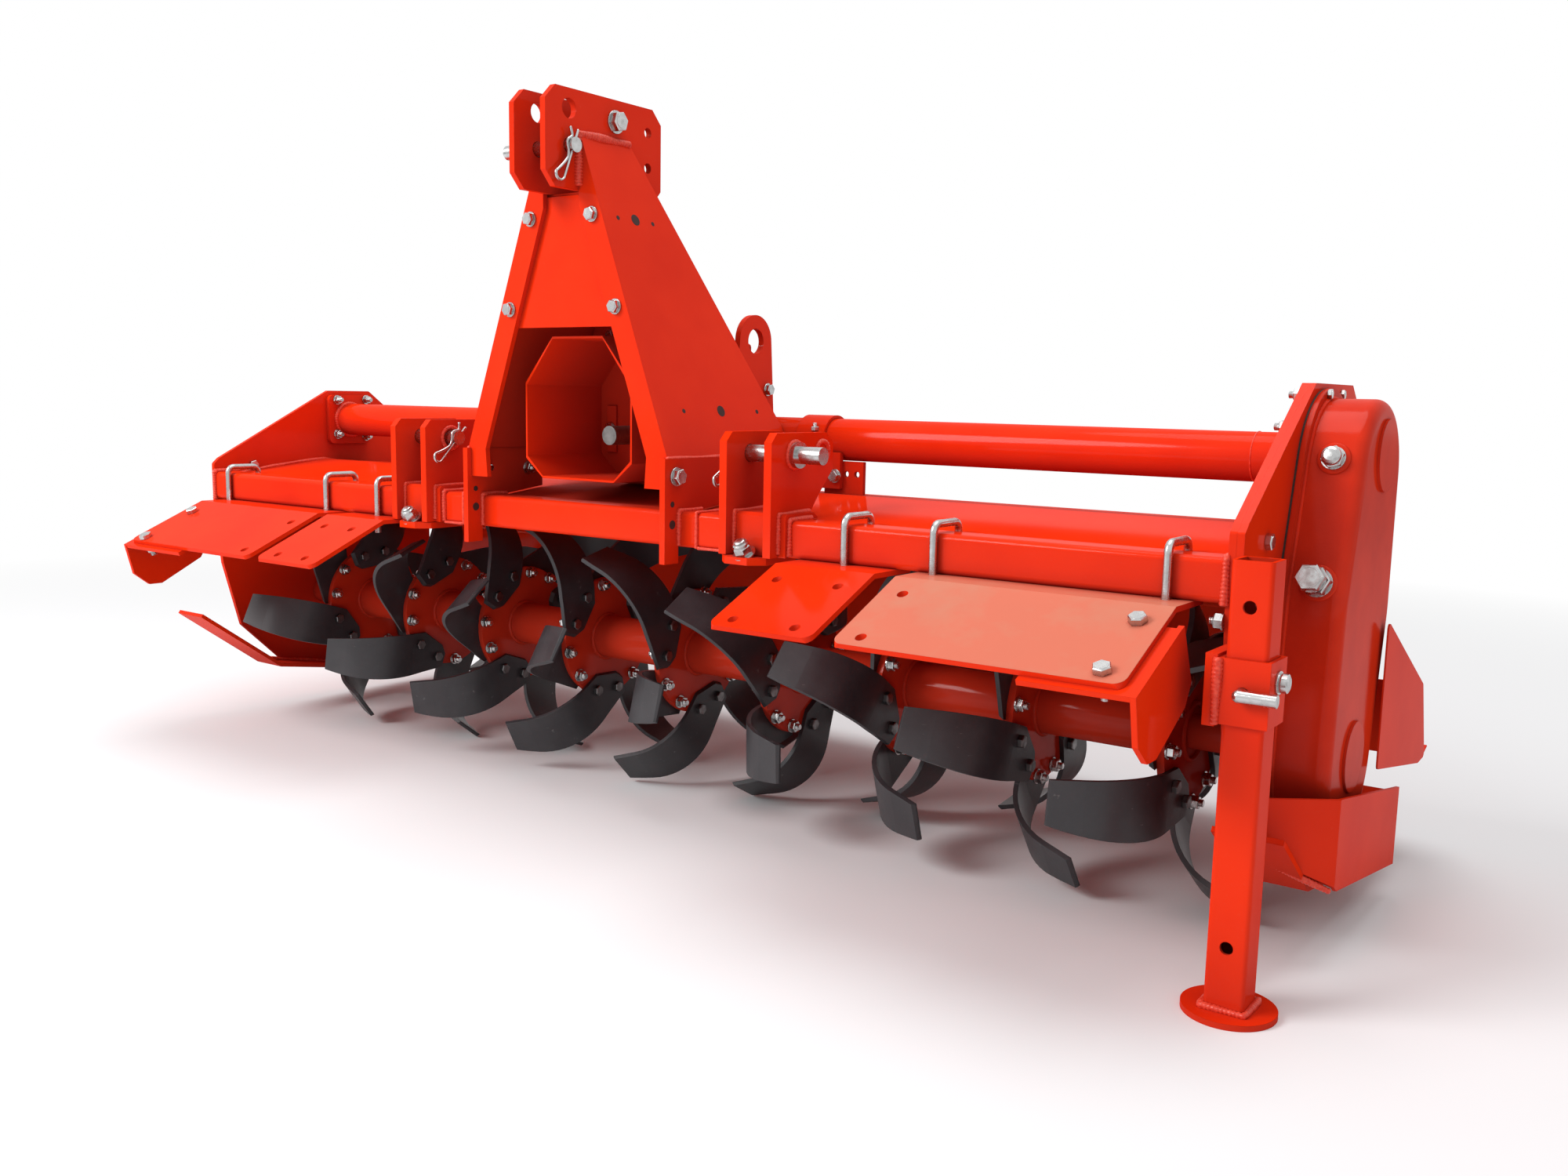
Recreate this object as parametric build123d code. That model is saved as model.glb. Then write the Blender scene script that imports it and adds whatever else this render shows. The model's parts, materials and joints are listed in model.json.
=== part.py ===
from build123d import *
from math import cos, pi, radians, sin, sqrt, tan
import os

# A heavy three-point rotary tiller for a farm tractor, in millimetres.
# Every piece is drawn about the rotor: it turns on the line Y = 0, Z = 0, and the hitch centre is X = 0.
# +X runs to the gear case end, +Y to the rear and +Z up. stance then stands the machine on the ground.

# ---- rotor ----
rotor_tube_radius = 43.0
rotor_tube_wall = 8.0
flange_radius = 121.0
flange_thickness = 12.0
flange_count = 9
flange_pitch = 244.5
last_flange_x = 1043.0           # middle of the flange beside the gear case
end_flange_gap = 270.0           # the far bearing pushes the first flange outwards
blades_per_face = 3
blade_thickness = 8.0
blade_fold_radial = 55.0         # where the strip starts to curl sideways, along and across the radius
blade_fold_trailing = 130.0
blade_fold_lean = 20.8           # the strip leans inwards from the tangent here, in degrees
blade_curl_radius = 115.0        # middle of the strip
blade_curl_angle = 72.0
blade_flat_end = 54.0            # straight end of the wing past the curl
blade_helix_step = 17.1          # each flange is turned on this much from the one before
last_flange_turn = 103.6         # of the flange beside the gear case
stub_axle_radius = 27.0
bore_gap = 0.4                   # between a turning face and a still one

# ---- side plates and skids ----
plate_thickness = 10.0
left_plate_gap = 197.5           # first flange to the plate's inner face
right_plate_gap = 129.0          # last flange to the plate's inner face
plate_front_y = -275.0
left_plate_rise = 69.0           # top tube to the plate's peak
right_plate_rise = 110.0
left_brow_rise = 30.5            # beam top to the corner where the plate's front edge leans back
right_brow_rise = 45.5
skid_width = 94.0
skid_thickness = 8.0
skid_pitch = 9.5                 # the sole runs down to its tail, in degrees
skid_nose_angle = 36.0
skid_tail_y = 165.0
skid_tail_length = 200.0
skid_tail_angle = 22.0
skid_heel_z = -152.0             # top of the sole where the left nose bends up
left_skid_heel_y = -165.0
left_skid_nose = 238.0           # length of the bent-up nose
right_skid_heel_y = -128.0       # set back to leave room for the stand
right_skid_nose = 172.0

# ---- beam and hood ----
beam_size = 60.0
beam_wall = 10.0
beam_corner = 9.0
beam_y = -245.0
beam_z = 269.5
hood_thickness = 4.0
hood_crest_y = 14.0
hood_crest_z = 322.0
hood_rear_y = 330.0
hood_rear_z = 232.0

# ---- top tubes ----
top_tube_radius = 38.0
top_tube_wall = 5.0
top_tube_y = 84.0
top_tube_z = 417.0
tube_flange_size = 118.0
tube_flange_thickness = 12.0

# ---- gear case ----
case_back_thickness = 10.0
gasket_thickness = 3.0
case_flange_thickness = 8.0
case_flange_lip = 14.0
case_depth = 84.0
case_edge_round = 18.0
case_bottom_radius = 124.0
case_middle_radius = 139.0
case_top_radius = 113.0

# ---- hitch ----
hitch_spread = 825.0             # between the two lower hitch points
hitch_gap = 74.0                 # clear width between the plates of one lower point
hitch_plate = 15.0
hitch_front_y = -306.0
hitch_top_z = 437.0
lower_pin_radius = 14.0
lower_pin_y = -245.0
lower_pin_z = 402.0
saddle_thickness = 10.0          # the bent plate that sits over the beam
saddle_overlap = 14.0            # it runs this far past the hitch plates
clamp_thickness = 12.0
mast_gap = 62.0                  # clear width between the two head plates
mast_plate = 12.0
top_pin_radius = 12.5
top_pin_y = -322.0
top_pin_z = 903.0
top_hole_rise = 60.0             # the second top link hole above the first
upper_hole_radius = 16.5         # it takes the next larger pin, of 32 mm
pin_gap = 0.5                    # between a hitch pin and the holes it sits in

# ---- stand ----
stand_tube = 52.0
stand_wall = 5.0
stand_corner = 6.0
stand_standoff = 15.5            # side plate to the sleeve
stand_y = -336.0
stand_length = 582.0
foot_radius = 60.0
foot_thickness = 8.0
sleeve_wall = 6.0
sleeve_gap = 0.5
sleeve_height = 83.0
sleeve_top_z = 188.0
stand_hole_radius = 8.5
ground_gap = 1.0                 # blade tips clear the ground by this much
empty_mass_kg = 930.0

# ---- trailing board ----
board_thickness = 2.5
board_length = 270.0
board_lean = 24.0                # from upright, in degrees
board_hinge_radius = 12.0

# ---- hinge and guard ----
hinge_y = 352.0
hinge_z = 152.0
hinge_rod_radius = 6.0
hinge_lug = 12.0
hinge_places = [-1110, -555, 0, 555, 1110]
guard_wall = 5.0
guard_clear = 13.5               # gear case boss to the guard
guard_front_y = -137.0
guard_rear_y = 231.0
guard_top_z = -27.0
cheek_clear = 5.5                # gear case boss to the cheek of the trailing board
stand_pin_z = 146.0
stand_pin_radius = 8.2
stand_pin_handle = 46.0

# ---- soil deflectors ----
deflector_thickness = 8.0
deflector_slope = 24.2
deflector_fold_y = -335.0
deflector_front_y = -501.0
deflector_hole_radius = 8.0
wing_thickness = 8.0
wing_front_y = -507.0
hook_radius = 6.0
hook_lift = 14.0                 # beam top to the middle of the rod

# ---- gearbox, mast and drive ----
collar_x = 262.0
bracket_x = 318.0
bracket_y = 56.0
bracket_top_z = 379.0
head_foot_z = 833.0
eye_hole_radius = 24.0
case_middle = (27.0, 205.0)
case_top = (51.0, 393.0)
boss_radius = 52.0
boss_height = 4.0
upper_boss = (58.0, 427.0)
mast_front_y = -300.0
mast_foot_x = 245.0
mast_foot_bottom_z = 212.0
mast_foot_z = 388.0
mast_top_x = 47.0
mast_top_z = 925.0
mast_leg_wall = 10.0
mast_fold = 47.0
gearbox_front_y = -62.0
gearbox_rear_y = 180.0
gearbox_half_width = 98.0
gearbox_bottom_z = hood_crest_z
gearbox_top_z = 530.0
shield_top_z = 592.0
shield_bottom_z = 338.0
shield_depth = 200.0
input_radius = 17.4
input_free = 100.0               # length that a drive shaft can slide onto
input_seat_radius = 21.0
gearbox_boss_radius = 40.0
input_length = 118.0             # from the gearbox's front wall to the tip

first_flange_x = last_flange_x - (flange_count - 2) * flange_pitch - end_flange_gap
flange_places = [first_flange_x] + [
    last_flange_x - (flange_count - 1 - index) * flange_pitch for index in range(1, flange_count)]
left_plate_x = first_flange_x - left_plate_gap      # inner faces
right_plate_x = last_flange_x + right_plate_gap
left_outer_x = left_plate_x - plate_thickness
right_outer_x = right_plate_x + plate_thickness
case_back_x = right_outer_x
gasket_x = case_back_x + case_back_thickness
case_x = gasket_x + gasket_thickness
case_outer_x = case_x + case_depth
beam_front_y = beam_y - beam_size / 2
beam_rear_y = beam_y + beam_size / 2
beam_top_z = beam_z + beam_size / 2
beam_bottom_z = beam_z - beam_size / 2
stand_x = right_outer_x + stand_standoff + sleeve_wall + sleeve_gap + stand_tube / 2
guard_x = case_outer_x + boss_height + guard_clear
cheek_x = case_outer_x + boss_height + cheek_clear


# ---- ways of making a piece ----
def outline(points, corner=0.0):
    face = make_face(Polyline(*points, close=True))
    if corner:
        face = fillet(face.vertices(), corner)
    return face


def upright(points, x_from, x_to, corner=0.0):
    """A flat plate standing along the machine's travel: points are (y, z)."""
    return extrude(Plane.YZ.offset(x_from) * outline(points, corner), x_to - x_from)


def across(points, y_from, y_to, corner=0.0):
    """A flat plate standing across the machine: points are (x, z)."""
    return extrude(Plane.XZ.offset(-y_to) * outline(points, corner), y_to - y_from)


def bar_x(radius, x_from, x_to, y, z):
    return extrude(Plane.YZ.offset(x_from) * Pos(y, z) * Circle(radius), x_to - x_from)


def bar_y(radius, y_from, y_to, x, z):
    return extrude(Plane.XZ.offset(-y_to) * Pos(x, z) * Circle(radius), y_to - y_from)


def block(x_from, x_to, y_from, y_to, z_from, z_to):
    size = (x_to - x_from, y_to - y_from, z_to - z_from)
    return Pos(x_from, y_from, z_from) * Box(*size, align=(Align.MIN, Align.MIN, Align.MIN))


def sheet(points, thickness, x_from, x_to):
    """A sheet folded along X: points (y, z) run along its upper face, the metal lies to their right."""
    edge = offset(Polyline(*points), thickness, kind=Kind.INTERSECTION, side=Side.RIGHT, closed=True)
    profile = make_face(edge.edges())
    return extrude(Plane.YZ.offset(x_from) * profile, x_to - x_from)


def mirrored(shape):
    return mirror(shape, about=Plane.YZ)


def save(node, *pieces):
    shape = pieces[0] if len(pieces) == 1 else Compound(children=list(pieces))
    shape = stance * shape
    shape.label = node
    export_step(shape, f"parts/{node}.step")


# ---- rotor shaft: the tube with its nine flanges and a stub axle at each end ----
def make_rotor_shaft():
    tube_from = first_flange_x - flange_thickness / 2
    tube_to = last_flange_x + flange_thickness / 2
    shaft = bar_x(rotor_tube_radius, tube_from, tube_to, 0, 0)
    shaft -= bar_x(rotor_tube_radius - rotor_tube_wall, tube_from + 20, tube_to - 20, 0, 0)
    for place in flange_places:
        shaft += bar_x(flange_radius, place - flange_thickness / 2, place + flange_thickness / 2, 0, 0)
    shaft += bar_x(stub_axle_radius, left_outer_x + 2, tube_from, 0, 0)
    shaft += bar_x(stub_axle_radius, tube_to, gasket_x, 0, 0)
    return shaft


# ---- one blade: a flat root bolted to a flange, and a strip that curls over sideways to cut ----
# Drawn with its root's radius along -Y and its trailing side towards +Z, curling towards +X.
def make_blade():
    lean = radians(blade_fold_lean)
    curl = radians(blade_curl_angle)
    half = blade_thickness / 2
    seat = -flange_thickness / 2 - half
    along = Vector(0, sin(lean), cos(lean))
    fold = Vector(seat, -blade_fold_radial, blade_fold_trailing)
    profile = Plane(origin=fold, x_dir=along, z_dir=along.cross(Vector(1, 0, 0)))

    def curled(radius, angle):
        return (radius * sin(angle), blade_curl_radius - radius * cos(angle))

    end = (blade_flat_end * cos(curl), blade_flat_end * sin(curl))
    inner = blade_curl_radius - half
    outer = blade_curl_radius + half
    inner_end = curled(inner, curl)
    outer_end = curled(outer, curl)
    strip = make_face([
        Line((-110, half), (0, half)),
        ThreePointArc((0, half), curled(inner, curl / 2), inner_end),
        Line(inner_end, (inner_end[0] + end[0], inner_end[1] + end[1])),
        Line((inner_end[0] + end[0], inner_end[1] + end[1]), (outer_end[0] + end[0], outer_end[1] + end[1])),
        Line((outer_end[0] + end[0], outer_end[1] + end[1]), outer_end),
        ThreePointArc(outer_end, curled(outer, curl / 2), (0, -half)),
        Line((0, -half), (-110, -half)),
        Line((-110, -half), (-110, half)),
    ])
    strip = extrude(profile * strip, 80, both=True)
    # seen square on to the middle of the curl, x runs along the strip and -y is its outer, leading edge
    tilt = curl / 2
    view = Plane(
        origin=fold,
        x_dir=along * cos(tilt) + Vector(sin(tilt), 0, 0),
        z_dir=Vector(cos(tilt), 0, 0) - along * sin(tilt))
    side = -1 if view.y_dir.Y < 0 else 1
    shape = make_face([
        Line((-70, side * -30), (-24, side * -41)),
        ThreePointArc((-24, side * -41), (80, side * -57), (179, side * -46)),
        Line((179, side * -46), (178, side * 21)),
        Line((178, side * 21), (-27, side * 48)),
        Line((-27, side * 48), (-68, side * 19)),
        Line((-68, side * 19), (-76, 0)),
        Line((-76, 0), (-70, side * -30)),
    ])
    return strip & extrude(view * shape, 120, both=True)


def make_blades(curl_side):
    """The blades that curl towards curl_side (+1: the gear case). Each sits on the flange's other face."""
    pattern = blade_pattern if curl_side > 0 else mirrored(blade_pattern)
    blades = []
    for index, place in enumerate(reversed(flange_places)):
        for number in range(blades_per_face):
            turn = last_flange_turn - index * blade_helix_step + number * 360 / blades_per_face
            turn += 180 / blades_per_face if curl_side > 0 else 0
            blades.append(Pos(place, 0, 0) * Rot(turn, 0, 0) * pattern)
    return blades


# ---- skids: a sole that runs down to its tail, with the nose bent up in front ----
def sole_top(y):
    return skid_heel_z - (y - left_skid_heel_y) * tan(radians(skid_pitch))


def make_skid(x_from, heel_y, nose_length):
    nose = radians(skid_nose_angle)
    nose_end = (heel_y - nose_length * cos(nose), sole_top(heel_y) + nose_length * sin(nose))
    heel = (heel_y, sole_top(heel_y))
    tail = (skid_tail_y, sole_top(skid_tail_y))
    tail_rise = radians(skid_tail_angle)
    tip = (tail[0] + skid_tail_length * cos(tail_rise), tail[1] + skid_tail_length * sin(tail_rise))
    return sheet([nose_end, heel, tail, tip], skid_thickness, x_from, x_from + skid_width)


def nose_top(y):
    return sole_top(right_skid_heel_y) + (right_skid_heel_y - y) * tan(radians(skid_nose_angle))


def make_skid_guard():
    """A bent wall on the outer edge of the right skid that shields the foot of the gear case."""
    plan = offset(
        Polyline((right_outer_x + 10, guard_front_y - 76), (guard_x, guard_front_y), (guard_x, guard_rear_y)),
        guard_wall, kind=Kind.INTERSECTION, side=Side.RIGHT, closed=True)
    wall = extrude(Plane.XY.offset(-300) * make_face(plan.edges()), 300)
    band = upright(
        [(guard_front_y - 120, guard_top_z), (guard_front_y, guard_top_z), (guard_rear_y, guard_top_z - 66),
         (guard_rear_y, sole_top(guard_rear_y)), (right_skid_heel_y, sole_top(right_skid_heel_y)),
         (guard_front_y - 120, nose_top(guard_front_y - 120))],
        right_outer_x, guard_x + guard_wall)
    return wall & band


# ---- side plates ----
def plate_outline(peak_front_y, peak_rear_y, peak_z, brow_z):
    brow_y = plate_front_y + 13
    return [
        (plate_front_y, beam_bottom_z - 12), (plate_front_y, brow_z - 12), (brow_y, brow_z),
        (peak_front_y, peak_z), (peak_rear_y, peak_z), (peak_rear_y + 45, peak_z - 34),
        (hood_rear_y + 2, hood_rear_z), (hood_rear_y + 2, 60), (210, -120),
        (120, sole_top(120) + 0.3), (-118, sole_top(-118) + 0.3), (-222, -60), (-262, 90),
    ]


def make_side_plate(points, inner_x, outer_x):
    plate = upright(points, min(inner_x, outer_x), max(inner_x, outer_x), 6)
    plate -= bar_x(stub_axle_radius + bore_gap, min(inner_x, outer_x), max(inner_x, outer_x), 0, 0)
    return plate


# ---- front beam and hood ----
def make_beam():
    section = RectangleRounded(beam_size, beam_size, beam_corner)
    section -= RectangleRounded(beam_size - 2 * beam_wall, beam_size - 2 * beam_wall, beam_corner / 4)
    return extrude(Plane.YZ.offset(left_plate_x) * Pos(beam_y, beam_z) * section, right_plate_x - left_plate_x)


def make_hood():
    points = [
        (beam_rear_y, beam_top_z - beam_corner / 2), (hood_crest_y, hood_crest_z),
        (hood_rear_y - 80, hood_crest_z - 16), (hood_rear_y, hood_rear_z), (hinge_y - 12, hinge_z + 14)]
    return sheet(points, hood_thickness, left_plate_x, right_plate_x)


# ---- trailing board: hinged along the hood's rear edge ----
def make_board():
    lean = radians(board_lean)
    foot_y = hinge_y + board_length * sin(lean)
    foot_z = hinge_z - board_length * cos(lean)
    board_from = left_outer_x
    board = sheet(
        [(hinge_y, hinge_z), (foot_y, foot_z), (foot_y + 40, foot_z + 12)],
        board_thickness, board_from, cheek_x)
    board += bar_x(board_hinge_radius, board_from, cheek_x, hinge_y, hinge_z)
    board -= bar_x(hinge_rod_radius + bore_gap, board_from, cheek_x, hinge_y, hinge_z)
    for place in hinge_places:
        half = hinge_lug / 2 + 2
        board -= bar_x(board_hinge_radius + 5, place - half, place + half, hinge_y, hinge_z)
    cheek_front_y = case_middle[0] + case_middle_radius - 52
    shoulder = 0.45 * board_length
    shoulder_y = hinge_y + shoulder * sin(lean) + 8
    shoulder_z = hinge_z - shoulder * cos(lean)
    board -= block(right_outer_x + 12, cheek_x, 0, foot_y + 60, shoulder_z, hinge_z + 60)
    cheek = upright(
        [(cheek_front_y, shoulder_z + 0.48 * (shoulder_y - cheek_front_y)), (shoulder_y, shoulder_z),
         (foot_y + 8, foot_z), (foot_y - 42, foot_z - 2), (cheek_front_y, foot_z + 53)],
        cheek_x, cheek_x + board_thickness, 8)
    return board, cheek


def make_hinge_lugs():
    lugs = []
    for place in hinge_places:
        eye = make_hull([
            *(Pos(hinge_y, hinge_z) * Circle(board_hinge_radius)).edges(),
            *(Pos(hinge_y - 26, hinge_z + 42) * Circle(6)).edges()])
        lug = extrude(Plane.YZ.offset(place - hinge_lug / 2) * eye, hinge_lug)
        lug -= bar_x(hinge_rod_radius + 0.1, place - hinge_lug, place + hinge_lug, hinge_y, hinge_z)
        lugs.append(lug - hood_shape)
    return lugs


# ---- top tubes ----
def make_top_tube(x_from, x_to):
    tube = bar_x(top_tube_radius, x_from, x_to, top_tube_y, top_tube_z)
    return tube - bar_x(top_tube_radius - top_tube_wall, x_from, x_to, top_tube_y, top_tube_z)


# ---- gear case ----
def case_section(grow):
    rings = [
        Circle(case_bottom_radius + grow),
        Pos(*case_middle) * Circle(case_middle_radius + grow),
        Pos(*case_top) * Circle(case_top_radius + grow)]
    edges = [edge for ring in rings for edge in ring.edges()]
    return make_hull(edges)


def make_case_cover():
    body = extrude(Plane.YZ.offset(case_x) * case_section(0), case_depth)
    body = fillet(body.faces().sort_by(Axis.X)[-1].outer_wire().edges(), case_edge_round)
    body += extrude(Plane.YZ.offset(case_x) * case_section(case_flange_lip), case_flange_thickness)
    for y, z in ((0, 0), upper_boss):
        body += bar_x(boss_radius, case_outer_x - 1, case_outer_x + boss_height, y, z)
    return body


# ---- hitch ----
def make_hitch_plate(x_from):
    points = [
        (hitch_front_y, beam_bottom_z + 1), (hitch_front_y, hitch_top_z - 15), (hitch_front_y + 14, hitch_top_z),
        (lower_pin_y + 89, hitch_top_z), (lower_pin_y + 109, hitch_top_z - 18), (lower_pin_y + 108, lower_pin_z - 27),
        (lower_pin_y + 69, lower_pin_z - 67), (beam_rear_y + 18, beam_top_z + saddle_thickness),
        (beam_rear_y, beam_top_z + 0.2), (beam_front_y - 0.2, beam_top_z + 0.2), (beam_front_y - 0.2, beam_bottom_z + 1)]
    plate = upright(points, x_from, x_from + hitch_plate)
    return plate - bar_x(lower_pin_radius + pin_gap, x_from, x_from + hitch_plate, lower_pin_y, lower_pin_z)


def make_lower_hitch():
    """Two plates welded to a saddle over the beam, and the plate under the beam that it is bolted down to."""
    inner_x = hitch_spread / 2 - hitch_gap / 2 - hitch_plate
    outer_x = hitch_spread / 2 + hitch_gap / 2
    inside_y = beam_front_y - 0.2
    inside_z = beam_top_z + 0.2
    saddle_profile = [
        (inside_y, beam_bottom_z + 1), (inside_y - saddle_thickness, beam_bottom_z + 1),
        (inside_y - saddle_thickness, inside_z + saddle_thickness - 5),
        (inside_y - saddle_thickness + 5, inside_z + saddle_thickness),
        (beam_rear_y + 6, inside_z + saddle_thickness), (beam_rear_y + 18, inside_z + 2), (beam_rear_y + 18, inside_z),
        (inside_y, inside_z)]
    hitch = make_hitch_plate(inner_x) + make_hitch_plate(outer_x)
    hitch += upright(saddle_profile, inner_x - saddle_overlap, outer_x + hitch_plate + saddle_overlap)
    clamp = block(
        inner_x, outer_x, beam_front_y - 43, beam_rear_y, beam_bottom_z - 0.1 - clamp_thickness, beam_bottom_z - 0.1)
    clamp = chamfer(clamp.edges().filter_by(Axis.Z).group_by(Axis.Y)[0], 22)
    return hitch, clamp


def make_lower_pin():
    inner_end = hitch_spread / 2 - 78
    outer_end = hitch_spread / 2 + 108
    collar_from = hitch_spread / 2 + hitch_gap / 2 + hitch_plate + 0.3
    pin = bar_x(lower_pin_radius, inner_end, outer_end, lower_pin_y, lower_pin_z)
    return pin + bar_x(lower_pin_radius + 7, collar_from, collar_from + 12, lower_pin_y, lower_pin_z)


def make_head_plate():
    points = [
        (top_pin_y - 55, head_foot_z + 25), (top_pin_y - 55, 972), (top_pin_y - 32, 996), (-114, 996),
        (-91, 972), (-91, head_foot_z + 23), (-112, head_foot_z), (top_pin_y - 33, head_foot_z)]
    plate = upright(points, mast_gap / 2, mast_gap / 2 + mast_plate)
    for y, z, radius in (
            (top_pin_y, top_pin_z, top_pin_radius + pin_gap), (top_pin_y, top_pin_z + top_hole_rise, upper_hole_radius),
            (-126, 954, 9.0), (-126, 893, 9.0)):
        plate -= bar_x(radius, mast_gap / 2, mast_gap / 2 + mast_plate, y, z)
    return plate


def make_mast_leg():
    rise = mast_top_z - mast_foot_z
    spread = mast_foot_x - mast_top_x
    slant = sqrt(rise ** 2 + spread ** 2)
    face = Plane(origin=(mast_foot_x, 0, mast_foot_z), x_dir=(0, 1, 0), z_dir=(rise, 0, spread))
    heel_y = top_tube_y - top_tube_radius - 2
    side = outline([(mast_front_y, 0), (heel_y, 0), (heel_y, 52), (-178, slant), (mast_front_y, slant)])
    leg = extrude(face * side, -mast_leg_wall)
    leg -= block(0, 600, -600, 600, 0, mast_foot_z)
    fold = across(
        [(mast_foot_x - mast_fold - 4, mast_foot_z - 52), (mast_foot_x - 8, mast_foot_z - 52),
         (mast_foot_x - 8, mast_foot_z), (mast_foot_x, mast_foot_z), (mast_top_x, mast_top_z), (mast_top_x - mast_fold, mast_top_z),
         (mast_foot_x - mast_fold, mast_foot_z)],
        mast_front_y, mast_front_y + mast_leg_wall)
    leg += fold
    head_side = mast_gap / 2 + mast_plate
    return leg - block(-head_side, head_side, -600, 600, 0, 1200)


def make_mast_foot():
    foot = block(mast_foot_x - 8, mast_foot_x + 4, mast_front_y - 10, -120, mast_foot_bottom_z, mast_foot_z)
    foot -= block(0, 600, beam_front_y, 600, 0, beam_top_z)
    foot -= upright([(beam_rear_y, 200), (beam_rear_y, beam_top_z), (0, hood_crest_z + 4), (0, 200)], 0, 600)
    return foot


def make_mast_cover():
    low = mast_foot_z + 218
    high = mast_foot_z + 440
    slope = (mast_foot_x - mast_top_x) / (mast_top_z - mast_foot_z)
    low_x = mast_foot_x - slope * 218 - 12
    high_x = mast_foot_x - slope * 440 - 12
    points = [(-low_x, low), (low_x, low), (high_x, high), (-high_x, high)]
    y_from = mast_front_y + mast_leg_wall
    return across(points, y_from, y_from + 5)


def make_shield():
    def octagon(grow):
        half, top, bottom = 131 + grow, shield_top_z + grow, shield_bottom_z - grow
        return make_face(Polyline(
            (-61, top), (61, top), (half, top - 82), (half, bottom + 35), (88, bottom), (-88, bottom),
            (-half, bottom + 35), (-half, top - 82), close=True))
    duct = extrude(Plane.XZ.offset(-gearbox_front_y) * octagon(0), shield_depth)
    duct -= extrude(Plane.XZ.offset(-(gearbox_front_y - 5)) * octagon(-4), shield_depth)
    return duct - bar_y(42, gearbox_front_y - 6, gearbox_front_y, 0, top_tube_z)


# ---- stand: a square leg that slides in a sleeve on the side plate ----
def make_stand_leg():
    top = ground_z + stand_length
    leg = RectangleRounded(stand_tube, stand_tube, stand_corner)
    leg -= RectangleRounded(stand_tube - 2 * stand_wall, stand_tube - 2 * stand_wall, stand_corner - stand_wall)
    leg = extrude(Plane.XY.offset(ground_z + foot_thickness) * Pos(stand_x, stand_y) * leg, stand_length - foot_thickness)
    for height in (92, 423, 525):
        leg -= bar_y(stand_hole_radius, stand_y - 60, stand_y + 60, stand_x, ground_z + height)
    foot = extrude(Plane.XY.offset(ground_z) * Pos(stand_x, stand_y) * Circle(foot_radius), foot_thickness)
    return leg + foot


def make_sleeve():
    inside = stand_tube / 2 + sleeve_gap
    outside = inside + sleeve_wall
    low = sleeve_top_z - sleeve_height
    sleeve = block(stand_x - outside, stand_x + outside, stand_y - outside, stand_y + outside, low, sleeve_top_z)
    sleeve -= block(stand_x - inside, stand_x + inside, stand_y - inside, stand_y + inside, low, sleeve_top_z)
    sleeve += block(right_outer_x, stand_x - outside, stand_y - outside, -200, low - 4, sleeve_top_z + 4)
    sleeve -= bar_y(stand_hole_radius, stand_y - 60, stand_y - 20, stand_x, stand_pin_z)
    return sleeve


# ---- soil deflectors: folded plates held under the beam by bent rods, two of them with a wing ----
def slope_z(y, lowered=0.0):
    return beam_bottom_z - lowered - (deflector_fold_y - y) * tan(radians(deflector_slope))


def make_deflector(x_from, x_to, hole_places):
    rear_y = beam_rear_y - 6
    plate = sheet(
        [(deflector_front_y, slope_z(deflector_front_y)), (deflector_fold_y, beam_bottom_z), (rear_y, beam_bottom_z)],
        deflector_thickness, x_from, x_to)
    plan = RectangleRounded(x_to - x_from, rear_y - deflector_front_y, 16)
    plate &= extrude(Pos((x_from + x_to) / 2, (rear_y + deflector_front_y) / 2, 0) * plan, 400)
    for x in hole_places:
        for y in (deflector_fold_y - 40, deflector_front_y + 20):
            plate -= Pos(x, y, slope_z(y)) * Cylinder(deflector_hole_radius, 60)
    return plate


def make_wing(seat_x, flank_x):
    """A bent bracket bolted under a deflector: seat_x is its inner edge, flank_x the outer face of its flank."""
    below = deflector_thickness / cos(radians(deflector_slope))
    wall_x = flank_x - wing_thickness if flank_x > 0 else flank_x + wing_thickness
    seat = sheet(
        [(wing_front_y, slope_z(wing_front_y, below)), (deflector_fold_y - 30, slope_z(deflector_fold_y - 30, below))],
        wing_thickness, min(seat_x, flank_x), max(seat_x, flank_x))
    flank = upright(
        [(wing_front_y, slope_z(wing_front_y, below)), (-491, 89), (-458, 63), (-430, 63), (-337, 112), (-319, 142),
         (deflector_fold_y - 22, slope_z(deflector_fold_y - 22, below + 1))],
        min(wall_x, flank_x), max(wall_x, flank_x))
    return seat + flank


def make_hook(x):
    """A bent rod over the beam: down the front through a deflector to its nuts, and down behind to the hood."""
    reach = hook_radius + 1.0
    front = beam_front_y - reach
    rear = beam_rear_y + reach
    top = beam_top_z + hook_lift
    tip = beam_bottom_z - deflector_thickness - 26
    path = FilletPolyline((x, front, tip), (x, front, top), (x, rear, top), (x, rear, beam_top_z - 8), radius=13)
    rod = sweep(Plane(origin=(x, front, tip), z_dir=(0, 0, 1)) * Circle(hook_radius), path) - hood_shape
    nut = extrude(Plane(origin=(x, front, beam_bottom_z - deflector_thickness), z_dir=(0, 0, -1)) * RegularPolygon(11, 6), 10)
    return rod + nut


# ---- bearings, flanges and small brackets ----
def make_bearing_left():
    cap = bar_x(82, left_outer_x - 26, left_outer_x, 0, 0)
    cap += bar_x(52, left_outer_x - 38, left_outer_x - 26, 0, 0)
    return cap - bar_x(stub_axle_radius + bore_gap, left_outer_x - 20, left_outer_x, 0, 0)


def make_bearing_right():
    cap = bar_x(76, right_plate_x - 24, right_plate_x, 0, 0)
    return cap - bar_x(stub_axle_radius + bore_gap, right_plate_x - 24, right_plate_x, 0, 0)


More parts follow.
